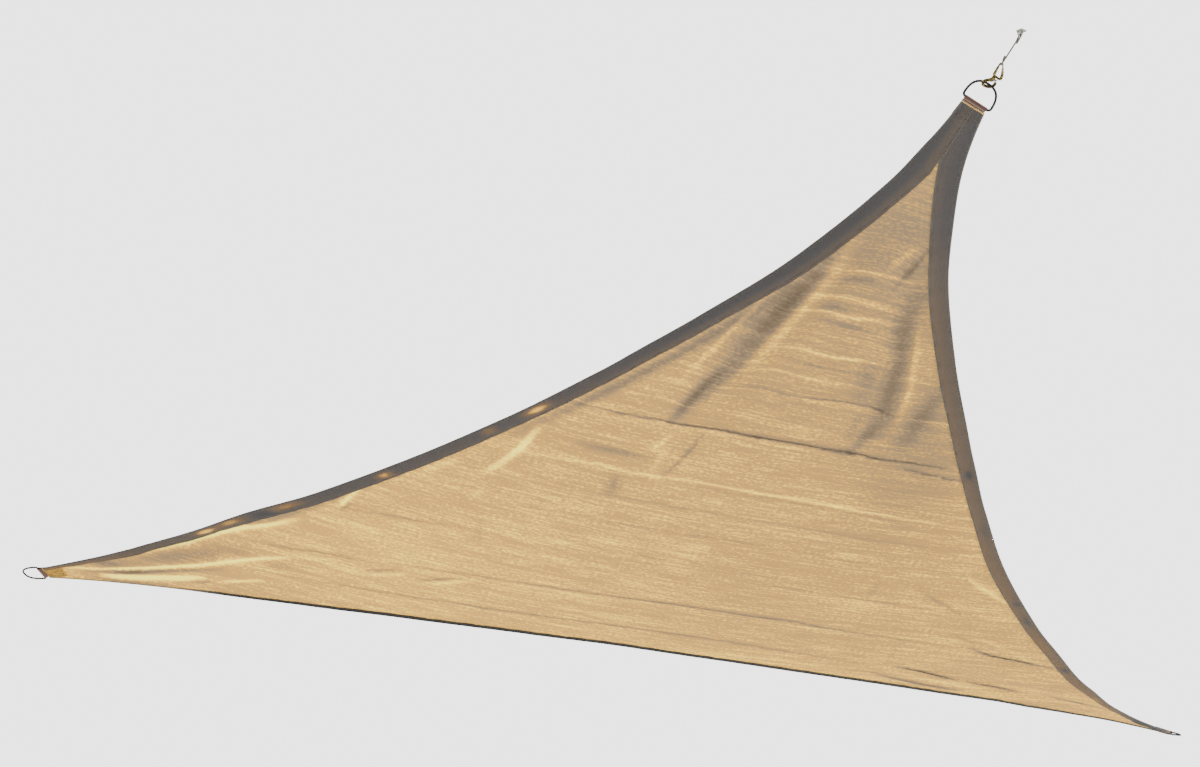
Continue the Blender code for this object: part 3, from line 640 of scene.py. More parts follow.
def new_material(name, preview):
    """An empty material with its colour in the viewport, and its node tree."""
    material = bpy.data.materials.new(name)
    material.use_nodes = True
    material.node_tree.nodes.clear()
    material.diffuse_color = (*preview, 1)
    return material, material.node_tree


def knit_pattern(tree, map_name, pitch):
    """A knitted cloth's tone, around zero: fine rows, wider rows, grains and broad clouds."""
    place = add_node(tree, "UVMap", uv_map=map_name)
    total = 0.0
    # Scale along and across the rows, detail and amount of each noise
    for along, across, detail, amount in ((9, 0.75 / pitch, 2, 0.62), (1.3, 0.22 / pitch, 3, 0.36),
                                          (0.55 / pitch, 0.9 / pitch, 1, 0.66), (3, 8, 3, 0.26)):
        spot = add_node(tree, "Mapping", {"Vector": place, "Scale": (along, across, 1)})
        noise = add_node(tree, "TexNoise", {"Vector": spot, "Scale": 1, "Detail": detail},
                         noise_dimensions="2D")
        level = add_node(tree, "Math", {0: noise, 1: 0.5}, operation="SUBTRACT")
        total = add_node(tree, "Math", {0: level, 1: amount, 2: total}, operation="MULTIPLY_ADD")
    # Only the bright side is kept: the holes get painted gold flecks of light, and the rows between them stay
    # an even tan.
    return add_node(tree, "Math", {0: total, 1: -0.06}, operation="MAXIMUM")


def ramp(tree, value, stops):
    """A colour ramp through stops of position and sRGB hex colour, the two ends first."""
    node = add_node(tree, "ValToRGB", {0: value})
    band = node.color_ramp.elements
    for k, (place, text) in enumerate(stops):
        stop = band[k] if k < 2 else band.new(place)
        stop.position = place
        stop.color = (*hex_colour(text), 1)
    return node


def lit_through(tree, colour, height, share):
    """A thin cloth's surface: matt front, and a share of the light that comes through from behind."""
    bump = add_node(tree, "Bump", {"Height": height, "Strength": 0.5, "Distance": 0.0008})
    front = add_node(tree, "BsdfPrincipled", {
        "Base Color": colour, "Roughness": 0.8, "Normal": bump, "Sheen Weight": 0.04,
        "Specular IOR Level": 0.2})
    # The closed sheet is passed twice, so each face takes the square root of the cloth's colour.
    root = add_node(tree, "Gamma", {"Color": colour, "Gamma": 0.5})
    through = add_node(tree, "BsdfTranslucent", {"Color": root, "Normal": bump})
    surface = add_node(tree, "MixShader", {0: share, 1: front, 2: through})
    add_node(tree, "OutputMaterial", {"Surface": surface})


def cloth_material(cloth):
    """Knitted polyethylene shade cloth: matt tape and thread rows that let a third of the sun through."""
    material, tree = new_material("knitted polyethylene cloth", cloth.yarn)
    pattern = knit_pattern(tree, "plan", cloth.row_pitch)
    # The tone attribute holds the painted shade and highlight of the creases and patches.
    tone = add_node(tree, "Attribute", attribute_name="tone").outputs["Fac"]
    # The pattern is calmer in the creases' painted shade.
    calm = add_node(tree, "MapRange", {"Value": tone, "From Min": -0.45, "From Max": 0.0, "To Min": 0.35})
    level = add_node(tree, "Math", {0: pattern, 1: calm, 2: tone}, operation="MULTIPLY_ADD")
    level = add_node(tree, "Math", {0: level, 1: 0.5}, operation="ADD")
    # The ramp gives painted shade at its low end and painted highlight at its high end.
    shade = ramp(tree, level, ((0.0, "#4F463C"), (1.0, "#FFF66C"), (0.25, "#82715A"), (0.5, "#BD9651"),
                               (0.66, "#E3BC56"), (0.82, "#F8DA5C")))
    colour = add_node(tree, "Mix", {0: 1.0, 6: (*cloth.yarn, 1), 7: shade}, **MULTIPLY)
    lit_through(tree, colour.outputs[2], pattern, 0.62)
    return material


def hem_material(cloth):
    """The same cloth turned three times: nearly opaque, with painted shade, grey where thickest, brown where
    thinner.
    """
    material, tree = new_material("turned hem", cloth.hem)
    pattern = knit_pattern(tree, "hem", cloth.row_pitch)
    grey = add_node(tree, "Attribute", attribute_name="grey").outputs["Fac"]
    share = add_node(tree, "Math", {0: pattern, 1: 0.7, 2: grey}, operation="MULTIPLY_ADD")
    share = add_node(tree, "MapRange", {"Value": share, "From Min": -1.0, "From Max": 2.0})
    # Painted shade of the layered hem, down to near black, and painted gold light at its thin spots.
    shade = ramp(tree, share, ((0.0, "#E8B450"), (1.0, "#121214"), (0.33, "#6A543A"), (0.5, "#564B41"),
                               (0.66, "#3D3D41")))
    light = add_node(tree, "Math", {0: pattern, 1: 0.6, 2: 1.0}, operation="MULTIPLY_ADD")
    colour = add_node(tree, "Mix", {0: 1.0, 6: shade, 7: light}, **MULTIPLY)
    lit_through(tree, colour.outputs[2], pattern, 0.2)
    return material


def raw_material(cloth):
    """One layer of the cloth past the hem's folds: the sun shows through it brightest."""
    material, tree = new_material("single cloth at the cut end", cloth.lit)
    pattern = knit_pattern(tree, "hem", cloth.row_pitch)
    level = add_node(tree, "Math", {0: pattern, 1: 0.5}, operation="ADD")
    # Painted light: the cut end is paler and yellower than the field's cloth, for the sun through its single
    # layer.
    lit_through(tree, ramp(tree, level, ((0.2, "#E0A060"), (0.8, "#FFF0A8"))), pattern, 0.5)
    return material


def woven_material(name, colour, pitch, map_name="strap", dark=0.55):
    """Woven or twisted polyester: fine ribs across its length, matt, a little uneven in its dye."""
    material, tree = new_material(name, colour)
    place = add_node(tree, "UVMap", uv_map=map_name)
    # A wave texture's band repeats every 2 pi / 20 of its scaled length.
    ribs = add_node(tree, "TexWave", {
        "Vector": place, "Scale": 2 * math.pi / (20 * pitch), "Distortion": 0.6, "Detail": 1,
        "Detail Scale": 2}, wave_type="BANDS", bands_direction="X").outputs[1]
    tone = add_node(tree, "MapRange", {"Value": ribs, "To Min": dark, "To Max": 1.1})
    # Fibres, then the dye: size, detail, amount
    for size, detail, amount in ((1.5 * MM, 3, 0.35), (20 * MM, 2, 0.3)):
        noise = add_node(tree, "TexNoise", {"Vector": place, "Scale": 1 / size, "Detail": detail},
                         noise_dimensions="2D")
        tone = add_node(tree, "Math", {0: noise, 1: amount, 2: tone}, operation="MULTIPLY_ADD")
    mixed = add_node(tree, "Mix", {0: 1.0, 6: (*colour, 1), 7: tone}, **MULTIPLY)
    bump = add_node(tree, "Bump", {"Height": ribs, "Strength": 0.6, "Distance": 0.0004})
    surface = add_node(tree, "BsdfPrincipled", {
        "Base Color": mixed.outputs[2], "Roughness": 0.75, "Normal": bump, "Sheen Weight": 0.2})
    add_node(tree, "OutputMaterial", {"Surface": surface})
    return material


def coated_material(name, coat, bare, metallic, rough, wear):
    """A metal with a coat or tarnish that noise wears through to the metal beneath."""
    material, tree = new_material(name, coat)
    place = add_node(tree, "TexCoord").outputs["Object"]
    broad, fine = (add_node(tree, "TexNoise", {"Vector": place, "Scale": 1 / size, "Detail": detail})
                   for size, detail in ((4 * MM, 4), (0.6 * MM, 2)))
    worn = add_node(tree, "MapRange", {"Value": broad, "From Min": wear, "From Max": wear + 0.12})
    colour = add_node(tree, "Mix", {0: worn, 6: (*coat, 1), 7: (*bare, 1)}, data_type="RGBA")
    roughness = add_node(tree, "MapRange", {"Value": fine, "To Min": rough - 0.08, "To Max": rough + 0.12})
    bump = add_node(tree, "Bump", {"Height": fine, "Strength": 0.15, "Distance": 0.0001})
    surface = add_node(tree, "BsdfPrincipled", {
        "Base Color": colour.outputs[2], "Metallic": metallic, "Roughness": roughness,
        "Specular IOR Level": 0.5 if metallic else 0.2, "Normal": bump})
    add_node(tree, "OutputMaterial", {"Surface": surface})
    return material


def painted_floor(colour):
    """Matt pale floor paint with a faint unevenness."""
    material, tree = new_material("matt floor paint", colour)
    place = add_node(tree, "TexCoord").outputs["Object"]
    cloud = add_node(tree, "TexNoise", {"Vector": place, "Scale": 1.5, "Detail": 3})
    tone = add_node(tree, "MapRange", {"Value": cloud, "To Min": 0.97, "To Max": 1.0})
    mixed = add_node(tree, "Mix", {0: 1.0, 6: (*colour, 1), 7: tone}, **MULTIPLY)
    surface = add_node(tree, "BsdfPrincipled", {"Base Color": mixed.outputs[2], "Roughness": 0.8})
    add_node(tree, "OutputMaterial", {"Surface": surface})
    return material


# ---- cloth ----
ROWS = 130
ROW_CROWDING, APEX_POWER = 1.2, 2.4
FIELD_PITCH = 0.0112
FIELD_STEP = 0.0016
CREASE_STEP = 0.010
# Points are dropped where one already stands in their cell of the plan.
CELLS = {"edge": 0.007, "crease": 0.004, "grid": 0.008}
CUT_END = 0.0026
# Hem's section: distance in from the edge, share of the hem's half thickness
EDGE_SECTION = ((0.0, 0.0), (0.0003, 0.55), (0.0012, 0.95), (0.0035, 1.12), (0.0055, 1.0))
# The rest of the hem: share of the way in, share of the half thickness, with a groove at the seam
HEM_SECTION = ((0.12, 1.0), (0.40, 0.98), (0.70, 1.0), (0.84, 1.0), (0.88, 0.82), (0.92, 1.0), (1.0, 0.92))
SEAM = 0.88
# Below this width the hem's rolled edge narrows too.
SHORT_HEM = 0.012
# Where the inner tone starts, how soon it is full, and a spot's reach, in shares of the hem's width
INNER_HALF, INNER_BLEND, SPOT_WIDTH = 0.42, 0.2, 0.26
# Columns of a hem's section that lie in shade: the outer fold's, and those at a seam or an inner fold
FOLD_COLUMNS = 3
DARK_COLUMNS = {"near_left": (8,), "near_right": (10,), "far": ()}
# Rows of stitches: where they start and stop, and the outer row's most and share of the hem's width
SEAM_ENDS, OUTER_SEAM, OUTER_SHARE = (0.05, 0.95), 0.0075, 0.45
# A row that leaves the edge at a low angle is longer, to keep the hem's width, but at most by one over this.
LEAST_SLANT = 0.2
FIELD, HEM, FOLD, RAW = range(4)
# The seam's puckers: wave lengths along the hem, height, middle and half width of the puckered band
PUCKERS, PUCKER_HEIGHT, PUCKER_MIDDLE, PUCKER_HALF = (0.083, 0.047), 0.0006, 0.04, 0.03
# Points closer than this become one.
WELD = 0.00003


def waved_edge(edge_name, t):
    """The hem's outer edge on the plan, with its small waves."""
    start, end = EDGES[edge_name][:2]
    outward = unit(CORNER_AXES[start][0] + CORNER_AXES[end][0])
    return edge_point(edge_name, t) + outward * (eased(t, HEM_WAVES[edge_name]) * MM)[..., None]


def hem_half(edge_name, t, apex, cloth):
    """Plan points across a hem, from its edge inward, with half thickness and hem map."""
    edge = waved_edge(edge_name, t)
    along = unit(edge_point(edge_name, t + 0.001) - edge_point(edge_name, t - 0.001))
    across = unit(apex - edge)
    slant = np.maximum(LEAST_SLANT, np.abs(along[:, 0] * across[:, 1] - along[:, 1] * across[:, 0]))
    length = np.linalg.norm(apex - edge, axis=1)
    width = eased(t, HEM_WIDTHS[edge_name]) * MM * cloth.hem_scale
    met = width / slant > length - 1.5 * FIELD_STEP
    hem = np.where(met, length - FIELD_STEP, width / slant)
    rolled = EDGE_SECTION[-1][0]
    half_hem, half_field = cloth.hem_thickness / 2, cloth.thickness / 2
    squeeze = np.minimum(1, hem / SHORT_HEM)
    reaches = [reach * squeeze for reach, _ in EDGE_SECTION]
    halves = [np.full_like(hem, share * half_hem) for _, share in EDGE_SECTION]
    for way, share in HEM_SECTION:
        reaches.append(rolled * squeeze + (hem - rolled * squeeze) * way)
        halves.append(np.full_like(hem, share * half_hem))
    reaches.append(np.where(met, length, hem + FIELD_STEP))
    halves.append(np.where(met, half_hem * HEM_SECTION[-1][1], half_field))
    reaches, halves = np.stack(reaches, 1), np.stack(halves, 1)
    points = edge[:, None] + across[:, None] * reaches[..., None]
    run = np.broadcast_to((t * SIDE)[:, None], reaches.shape)
    hem_map = np.stack([run, reaches * slant[:, None]], axis=-1)
    # The grey is the hem's painted shade; its spots add painted light and shade.
    shares = eased(t, HEM_GREYS[edge_name])
    across_share = reaches / np.maximum(hem, MM)[:, None]
    inner = np.clip((across_share - INNER_HALF) / INNER_BLEND, 0, 1)
    grey = shares[:, :1] * (1 - inner) + shares[:, 1:] * inner
    for place, way, half_length, amount in HEM_LIGHT_AND_SHADE_SPOTS[edge_name]:
        off = (across_share - way) / SPOT_WIDTH
        grey = grey + amount * np.exp(-(((t - place) / half_length) ** 2)[:, None] - off ** 2)
    return points, halves, hem_map, grey, met


def corner_edges(name):
    """The edge that leaves a corner and the edge that arrives there."""
    return [next(edge for edge, row in EDGES.items() if row[way] == name) for way in (0, 1)]


def corner_hems(name, cloth):
    """Both hems that meet at a corner, from the corner's cut end to the middles of its edges."""
    leaving, arriving = corner_edges(name)
    first = CLOTH_START / SIDE
    t = first + (0.5 - first) * np.linspace(0, 1, ROWS + 1) ** ROW_CROWDING
    t = np.concatenate([t[:1], t[:1] + CUT_END / SIDE, t[1:]])
    middle = (edge_point(leaving, t) + edge_point(arriving, 1 - t)) / 2
    apex = middle * (1 - (2 * t) ** (APEX_POWER / ROW_CROWDING))[:, None]
    return hem_half(leaving, t, apex, cloth), hem_half(arriving, 1 - t, apex, cloth)


def inside(points, outline):
    """Which points lie inside a closed outline."""
    hit = np.zeros(len(points), bool)
    for (x0, y0), (x1, y1) in zip(outline, np.roll(outline, -1, axis=0)):
        if y0 != y1:
            crossing = (points[:, 1] >= min(y0, y1)) & (points[:, 1] < max(y0, y1))
            hit ^= crossing & (points[:, 0] < x0 + (points[:, 1] - y0) * (x1 - x0) / (y1 - y0))
    return hit


def field_points(outline):
    """Even points of the field, with closer ones along every narrow crease."""
    fine = []
    for width, _, _, line in crease_lines():
        if width < NARROW_CREASE:
            for p0, p1 in zip(line, line[1:]):
                along = unit(p1 - p0)
                side = np.array((-along[1], along[0])) * width
                for k in range(max(1, round(np.linalg.norm(p1 - p0) / CREASE_STEP))):
                    here = p0 + along * (k + 0.5) * CREASE_STEP
                    fine += [here + side * off for off in (-1.3, -0.45, 0.45, 1.3)]
    low, high = outline.min(axis=0), outline.max(axis=0)
    grid = np.stack(np.meshgrid(*(np.arange(low[k], high[k], FIELD_PITCH) for k in (0, 1))), axis=-1)
    grid[1::2, :, 0] += FIELD_PITCH / 2
    taken, kept = set(), []
    for points, own in ((outline, "edge"), (np.array(fine), "crease"), (grid.reshape(-1, 2), "grid")):
        if own != "edge":
            points = points[inside(points, outline)]
        for point in points:
            cells = {kind: (kind, *(round(value / size) for value in point)) for kind, size in CELLS.items()}
            if own == "edge" or not taken.intersection(cells.values()):
                taken.update((cells[own], cells["grid"]))
                if own != "edge":
                    kept.append(point)
    return np.array(kept)


def ripples(hem_map):
    """Small puckers that the seam draws into the cloth beside the hem."""
    run, reach = hem_map[..., 0], hem_map[..., 1]
    long, short = (run * 2 * math.pi / length for length in PUCKERS)
    near = np.exp(-((reach - PUCKER_MIDDLE) / PUCKER_HALF) ** 2)
    ends = np.clip(np.minimum(run, SIDE - run) / 0.5, 0, 1)
    return PUCKER_HEIGHT * (np.sin(long) + 0.6 * np.sin(short + 1.3)) * near * ends


def hem_strips(cloth):
    """The hems as strips of faces, and the outline that they leave for the field.

    The columns of a point are u, v, half thickness, hem map (two) and grey.
    """
    points, faces, slots, outline = [], [], [], []
    count = 0
    for name in ("top", "left", "right"):
        both = corner_hems(name, cloth)
        tip = max(0, int(np.sum(both[0][4] & both[1][4])) - 1)
        ends = []
        for edge, (plan, half, maps, greys, met) in zip(corner_edges(name), both):
            rows, columns = half.shape
            for i in range(rows - 1):
                for k in range(columns - 1):
                    a = count + i * columns + k
                    faces.append((a, a + 1, a + columns + 1, a + columns))
                    if i == 0:
                        slots.append(RAW)
                    elif k < FOLD_COLUMNS or k in DARK_COLUMNS[edge]:
                        slots.append(FOLD)
                    else:
                        slots.append(FIELD if k == columns - 2 and not met[i] and not met[i + 1] else HEM)
            strip = np.concatenate([plan, half[..., None], maps, greys[..., None]], axis=-1)
            points.append(strip.reshape(-1, strip.shape[-1]))
            ends.append(strip[tip:, -1])
            count += rows * columns
        # The field's outline runs up the arriving hem to the tip and down the leaving one.
        outline.append(np.concatenate([ends[1][:0 if tip else None:-1], ends[0]])[1:])
    return np.concatenate(points), faces, slots, np.concatenate(outline)


def field_triangles(outline, half):
    """The field inside the hems' outline in even triangles, its points with the same columns."""
    border = outline[:, :2]
    every = [Vector(p) for p in np.concatenate([border, field_points(border)])]
    result = delaunay_2d_cdt(every, [], [list(range(len(border)))], 1, 1e-7)
    finder = KDTree(len(border))
    for k, point in enumerate(border):
        finder.insert((*point, 0), k)
    finder.balance()
    points = []
    for point, spots in zip(result[0], result[3]):
        _, near, far = finder.find((*point, 0))
        on_border = spots and spots[0] < len(border)
        points.append((*point, outline[spots[0], 2] if on_border else half,
                       outline[near, 3], outline[near, 4] + far, 0))
    return points, result[2]


def close_sheet(mesh):
    """Joins the sheet's two faces along its cut ends and turns every face outward."""
    bm = bmesh.new()
    bm.from_mesh(mesh)
    bmesh.ops.remove_doubles(bm, verts=bm.verts, dist=WELD)
    rim = [edge for edge in bm.edges if edge.is_boundary]
    for face in bmesh.ops.holes_fill(bm, edges=rim, sides=0)["faces"]:
        face.material_index = RAW
    bmesh.ops.recalc_face_normals(bm, faces=bm.faces)
    if bm.calc_volume(signed=True) < 0:
        bmesh.ops.reverse_faces(bm, faces=bm.faces)
    for face in bm.faces:
        face.smooth = True
    bm.to_mesh(mesh)
    bm.free()


def make_sail(cloth):
    """The sail's closed sheet: hems in strips, the field between them in even triangles."""
    strips, faces, slots, outline = hem_strips(cloth)
    field, triangles = field_triangles(outline, cloth.thickness / 2)
    faces += [tuple(len(strips) + k for k in face) for face in triangles]
    slots += [FIELD] * len(triangles)
    sheet = np.concatenate([strips, field])
    plan, halves, hem_map, grey = sheet[:, :2], sheet[:, 2], sheet[:, 3:5], sheet[:, 5]
    middle = on_cloth(plan, ripples(hem_map), fine=True)
    offset = surface_normal(plan) * halves[:, None]
    faces += [tuple(len(plan) + k for k in face[::-1]) for face in faces]
    # The edge fold's near-black colour is painted shade at the hem's outer fold and in its seam groove.
    fold = woven_material("edge fold", cloth.fold, 4 * MM, "hem", 0.7)
    # The tone and grey values carry the painted shade and highlight of creases, patches and hems.
    sail = add_piece("sail", np.concatenate([middle + offset, middle - offset]), faces,
                     (cloth_material(cloth), hem_material(cloth), fold, raw_material(cloth)), slots * 2,
                     {"plan": np.tile(plan, (2, 1)), "hem": np.tile(hem_map, (2, 1))},
                     {"tone": np.tile(crease_field(plan)[1], 2), "grey": np.tile(grey, 2)}, angle=180)
    close_sheet(sail.data)
    return sail


def make_seams(cloth):
    """Rows of stitches that hold the hems, on both faces."""
    parts = []
    half = cloth.hem_thickness / 2
    for name in EDGES:
        t = np.linspace(*SEAM_ENDS, 500)
        edge = waved_edge(name, t)
        along = unit(edge_point(name, t + 0.001) - edge_point(name, t - 0.001))
        inward = np.stack([-along[:, 1], along[:, 0]], axis=1)
        inward *= np.sign(np.sum(-edge * inward, axis=1))[:, None]
        width = eased(t, HEM_WIDTHS[name]) * MM * cloth.hem_scale
        rows = (width * SEAM + EDGE_SECTION[-1][0] * (1 - SEAM),)
        if name != "far":
            rows += (np.minimum(OUTER_SEAM, width * OUTER_SHARE),)
        for reach in rows:
            line = edge + inward * reach[:, None]
            normals = surface_normal(line)
            for sign in (1, -1):
                # The inner row lies in its groove.
                depth = half * (0.86 if reach is rows[0] else 1.0)
                maps = np.stack([t * SIDE, reach], axis=-1)
                spots = on_cloth(line, ripples(maps) + sign * depth, fine=True)
                parts += sew(spots, normals * sign, *HEM_STITCH)
    return parts


# ---- straps ----
def strap_line():
    """The strap's middle line: distance in from the ring bar, and height over the cloth."""
    loop = RING_WIRE + RING_COAT + GAP / 2 + WEBBING / 2
    low, high = BAR_HEIGHT - loop, BAR_HEIGHT + loop
    tail = [CLOTH_START + (WEBBING_TAIL - CLOTH_START) * k / 12 for k in range(13)]
    slope = [(CLOTH_START * way, way * way * (3 - 2 * way)) for way in (k / 8 for k in range(9))]
    turns = [math.pi * k / 16 for k in range(17)]
    line = [(reach, TAIL_HEIGHT) for reach in tail[::-1]]
    line += [(reach, low + (TAIL_HEIGHT - low) * ease) for reach, ease in slope[7:0:-1]]
    line += [(-loop * math.sin(turn), BAR_HEIGHT - loop * math.cos(turn)) for turn in turns]
    line += [(reach, high + (UPPER_TAIL_HEIGHT - high) * ease) for reach, ease in slope[1:]]
    return np.array(line + [(reach, UPPER_TAIL_HEIGHT) for reach in tail[1:]])


def strap_parts(name):
    """A corner strap folded round the ring's bar, with rounded selvedges."""
    place, out, side = CORNER_AXES[name]
    line = strap_line()
    ways = unit(np.gradient(line, axis=0))
    lift = np.stack([-ways[:, 1], ways[:, 0]], axis=1)
    half = WEBBING_HALF * math.cos(TWISTS[name])
    lengths = runs(line)
    # Share of the half width, share of the half thickness
    section = ((-1.0, 0.25), (-0.985, 0.8), (-0.95, 1.0), (-0.5, 0.94), (0.0, 0.94), (0.5, 0.94),
               (0.95, 1.0), (0.985, 0.8), (1.0, 0.25))
    ring = [*section, *((x, -h) for x, h in section[::-1])]
    points, places = [], []
    for k, (reach, height) in enumerate(line):
        for x, h in ring:
            off = lift[k] * h * WEBBING / 2
            plan = place + side * (half * x + CORNERS[name][2]) - out * (reach + off[0])
            points.append(on_cloth(plan, height + off[1]))
            places.append((lengths[k], half * x + h * MM))
    return points, skin(len(line), len(ring)), places


def strap_seams(name):
    """A box of stitches with a cross in it, through the strap and the cloth under it."""
    parts = []
    near, far, half = STITCH_BOX
    box = ((near, -half), (near, half), (far, half), (far, -half))
    lines = [(box[k], box[m]) for k, m in ((0, 1), (1, 2), (2, 3), (3, 0), (0, 2), (1, 3))]
    place, out, side = CORNER_AXES[name]
    lean = math.cos(TWISTS[name])
    for sign, high in ((-1, HEM_HALF), (1, UPPER_TAIL_HEIGHT + WEBBING / 2)):
        for (r0, s0), (r1, s1) in lines:
            k = np.linspace(0, 1, 12)[:, None]
            reach, aside = r0 + (r1 - r0) * k, (s0 + (s1 - s0) * k) * lean + CORNERS[name][2]
            plan = place - out * reach + side * aside
            normals = surface_normal(plan) * sign
            spots = on_cloth(plan, sign * high)
            parts += sew(spots, normals, *CORNER_STITCH)
    return parts


# ---- fittings ----
def squared_circle(angle):
    """Across and along on a circle whose sides are drawn out towards a square."""
    across, along = math.cos(angle), math.sin(angle)
    return math.copysign(abs(across) ** SQUARENESS, across), math.copysign(abs(along) ** SQUARENESS, along)


def ring_points(name):
    """The D-ring's middle line."""
    middle, bar, pull, _ = corner_frame(name, PULL_LIFT if name == "top" else 0.0)
    corner = [(RING_BAR + RING_CORNER * math.sin(turn), RING_CORNER * (1 - math.cos(turn)))
              for turn in (math.pi / 2 * k / 7 for k in range(1, 7))]
    bow = [squared_circle(math.pi * k / 72) for k in range(73)]
    line = [(RING_BAR * k / 4, 0.0) for k in range(-4, 5)] + corner
    line += [(RING_HALF_WIDTH * across, RING_CORNER + RING_BOW * along) for across, along in bow]
    line += [(-x, y) for x, y in corner[::-1]]
    return [Vector(middle + SHIFT + bar * (x + CORNERS[name][2]) + pull * y) for x, y in line]


def hook_loop(degrees):
    """Reach and side of the hook's loop at a turn about its middle."""
    across, along = squared_circle(math.radians(degrees))
    return HOOK_CENTRE + HOOK_HEIGHT * along - HOOK_DROP * max(0, -along), HOOK_ASIDE + HOOK_WIDTH * across


def make_hook(material):
    """Cast hook and its barrel with two collars, swept in one from the barrel's end to the hook's tip."""
    # Distance back from the barrel's end, share of its half thickness
    collars = ((0, 0.8), (0.0005, 1), (0.0020, 1), (0.0026, 0.86), (0.0034, 0.86), (0.0040, 1),
               (BARREL_END - BARREL_START, 1))
    knots = [Vector((BARREL_END - back, 0, BARREL * share)) for back, share in collars]
    for turn in range(118, 392, 21):
        knots.append(Vector((*hook_loop(turn), HOOK_WIRE - (0.0005 if turn > 370 else 0.0))))
    path = smooth_path(knots, 0.0005)
    path[-1].z *= 0.7
    radii = [p.z * (HOOK_SWELL if p.x < BARREL_START else SWELL) for p in path]
    points, faces, _ = tube_parts([hook_point(p.x, p.y) for p in path], radii, 20)
    return add_piece("hook", points, faces, [material])


def make_gate(material):
    """Spring gate across the hook's mouth, with its thumb stud."""
    low, high = Vector((HOOK_CENTRE + 0.0073, 0.0078)), Vector((BARREL_START + 0.0020, BARREL + 0.0024))
    ends = [GATE * 0.6] + [GATE] * 9 + [GATE * 0.6]
    bar = tube_parts([hook_point(*low.lerp(high, k / 10)) for k in range(11)], ends, 14)
    gate = add_piece("gate", bar[0], bar[1], [material])
    foot = low.lerp(high, 0.45)
    out = Vector((low.y - high.y, high.x - low.x)).normalized()
    # Distance out from the gate, half thickness
    heads = ((0.0, 0.0010), (0.0024, 0.0010), (0.0028, STUD * 0.8), (0.0034, STUD), (0.0040, STUD),
             (0.0044, STUD * 0.6))
    knob = tube_parts([hook_point(*(foot + out * reach)) for reach, _ in heads], [r for _, r in heads], 14)
    union(gate, add_piece("gate_stud", knob[0], knob[1], [material]))
    return gate


def make_eye(material):
    """Swivel eye of bent wire with its stem."""
    bend = EYE_TIP - EYE_BEND
    # Along the pull, aside, half thickness
    knots = [(EYE_START, 0.001, EYE_FOOT), (EYE_START - 0.0006, 0.006, EYE_FOOT),
             (EYE_START - 0.0008, 0.0105, EYE_FOOT), (EYE_START + 0.0012, 0.0132, 0.0028),
             (EYE_START + 0.0060, 0.0132, 0.0028), (EYE_START + 0.0130, 0.0114, 0.0026),
             (EYE_START + 0.0210, 0.0082, 0.0022), (EYE_START + 0.0280, 0.0052, 0.0015)]
    for angle in (math.radians(turn) for turn in range(0, 181, 36)):
        knots.append((bend + EYE_BEND * math.sin(angle), LINE_ASIDE + EYE_BEND * math.cos(angle), EYE_WIRE))
    knots += [(EYE_START + 0.0240, -0.0040, 0.0019), (EYE_START + 0.0120, -0.0034, 0.0026),
              (EYE_START + 0.0040, -0.0028, 0.0027), (EYE_START + 0.0006, -0.0016, 0.0024),
              (EYE_START, 0.001, EYE_FOOT)]
    path = smooth_path([Vector(knot) for knot in knots], 0.0008)[:-1]
    radii = [p.z * SWELL for p in path]
    points, faces, _ = tube_parts([pull_point(p.x, p.y) for p in path], radii, 16, closed=True)
    eye = add_piece("swivel_eye", points, faces, [material])
    start = BARREL_END + GAP
    stem = tube_parts([pull_point(start), pull_point(start + 0.0004), pull_point(start + 0.0012),
                       pull_point(EYE_START, 0.0005)], [0.0026, 0.0030, 0.0028, 0.0016], 16)
    union(eye, add_piece("eye_stem", stem[0], stem[1], [material]))
    return eye


LEVEL = Vector((TOP_PULL[1], -TOP_PULL[0], 0)).normalized()


def line_path():
    """The line's middle, from one end past the staple down to the end past the swivel eye."""
    over = LEVEL.cross(Vector(TOP_PULL)).normalized()
    twin = 2 * (LINE + GAP)

    def top(reach, upward=0.0):
        return pull_point(LINE_TOP + reach, LINE_ASIDE) + over * upward

    def low(reach, sideways=0.0, upward=0.0):
        return pull_point(EYE_TIP + reach, LINE_ASIDE + sideways, upward)

    knots = [top(-0.018, -twin - 0.0006), top(-0.013, -twin - 0.0006), top(-0.007, -TOP_TURN * 1.15)]
    for k in range(7):
        turn = math.pi * k / 6
        knots.append(top(TOP_TURN * math.sin(turn), -TOP_TURN * math.cos(turn)))
    knots += [top(-0.007, TOP_TURN * 0.7), top(-0.015, 0.0006), top(-0.022)]
    knots += [low(0.040), low(0.022), low(0.014, 0, 0.0006), low(0.007, 0, LOW_TURN * 0.75)]
    for k in range(7):
        turn = math.pi * k / 6
        knots.append(low(-LOW_TURN * math.sin(turn), 0, LOW_TURN * math.cos(turn)))
    knots += [low(0.006, -0.0004, -LOW_TURN * 1.1), low(0.010, -0.0016, -0.0034),
              low(0.014, -0.0029, -0.0022), low(0.020, -0.0035, -0.0008)]
    return smooth_path(knots, 0.0006)


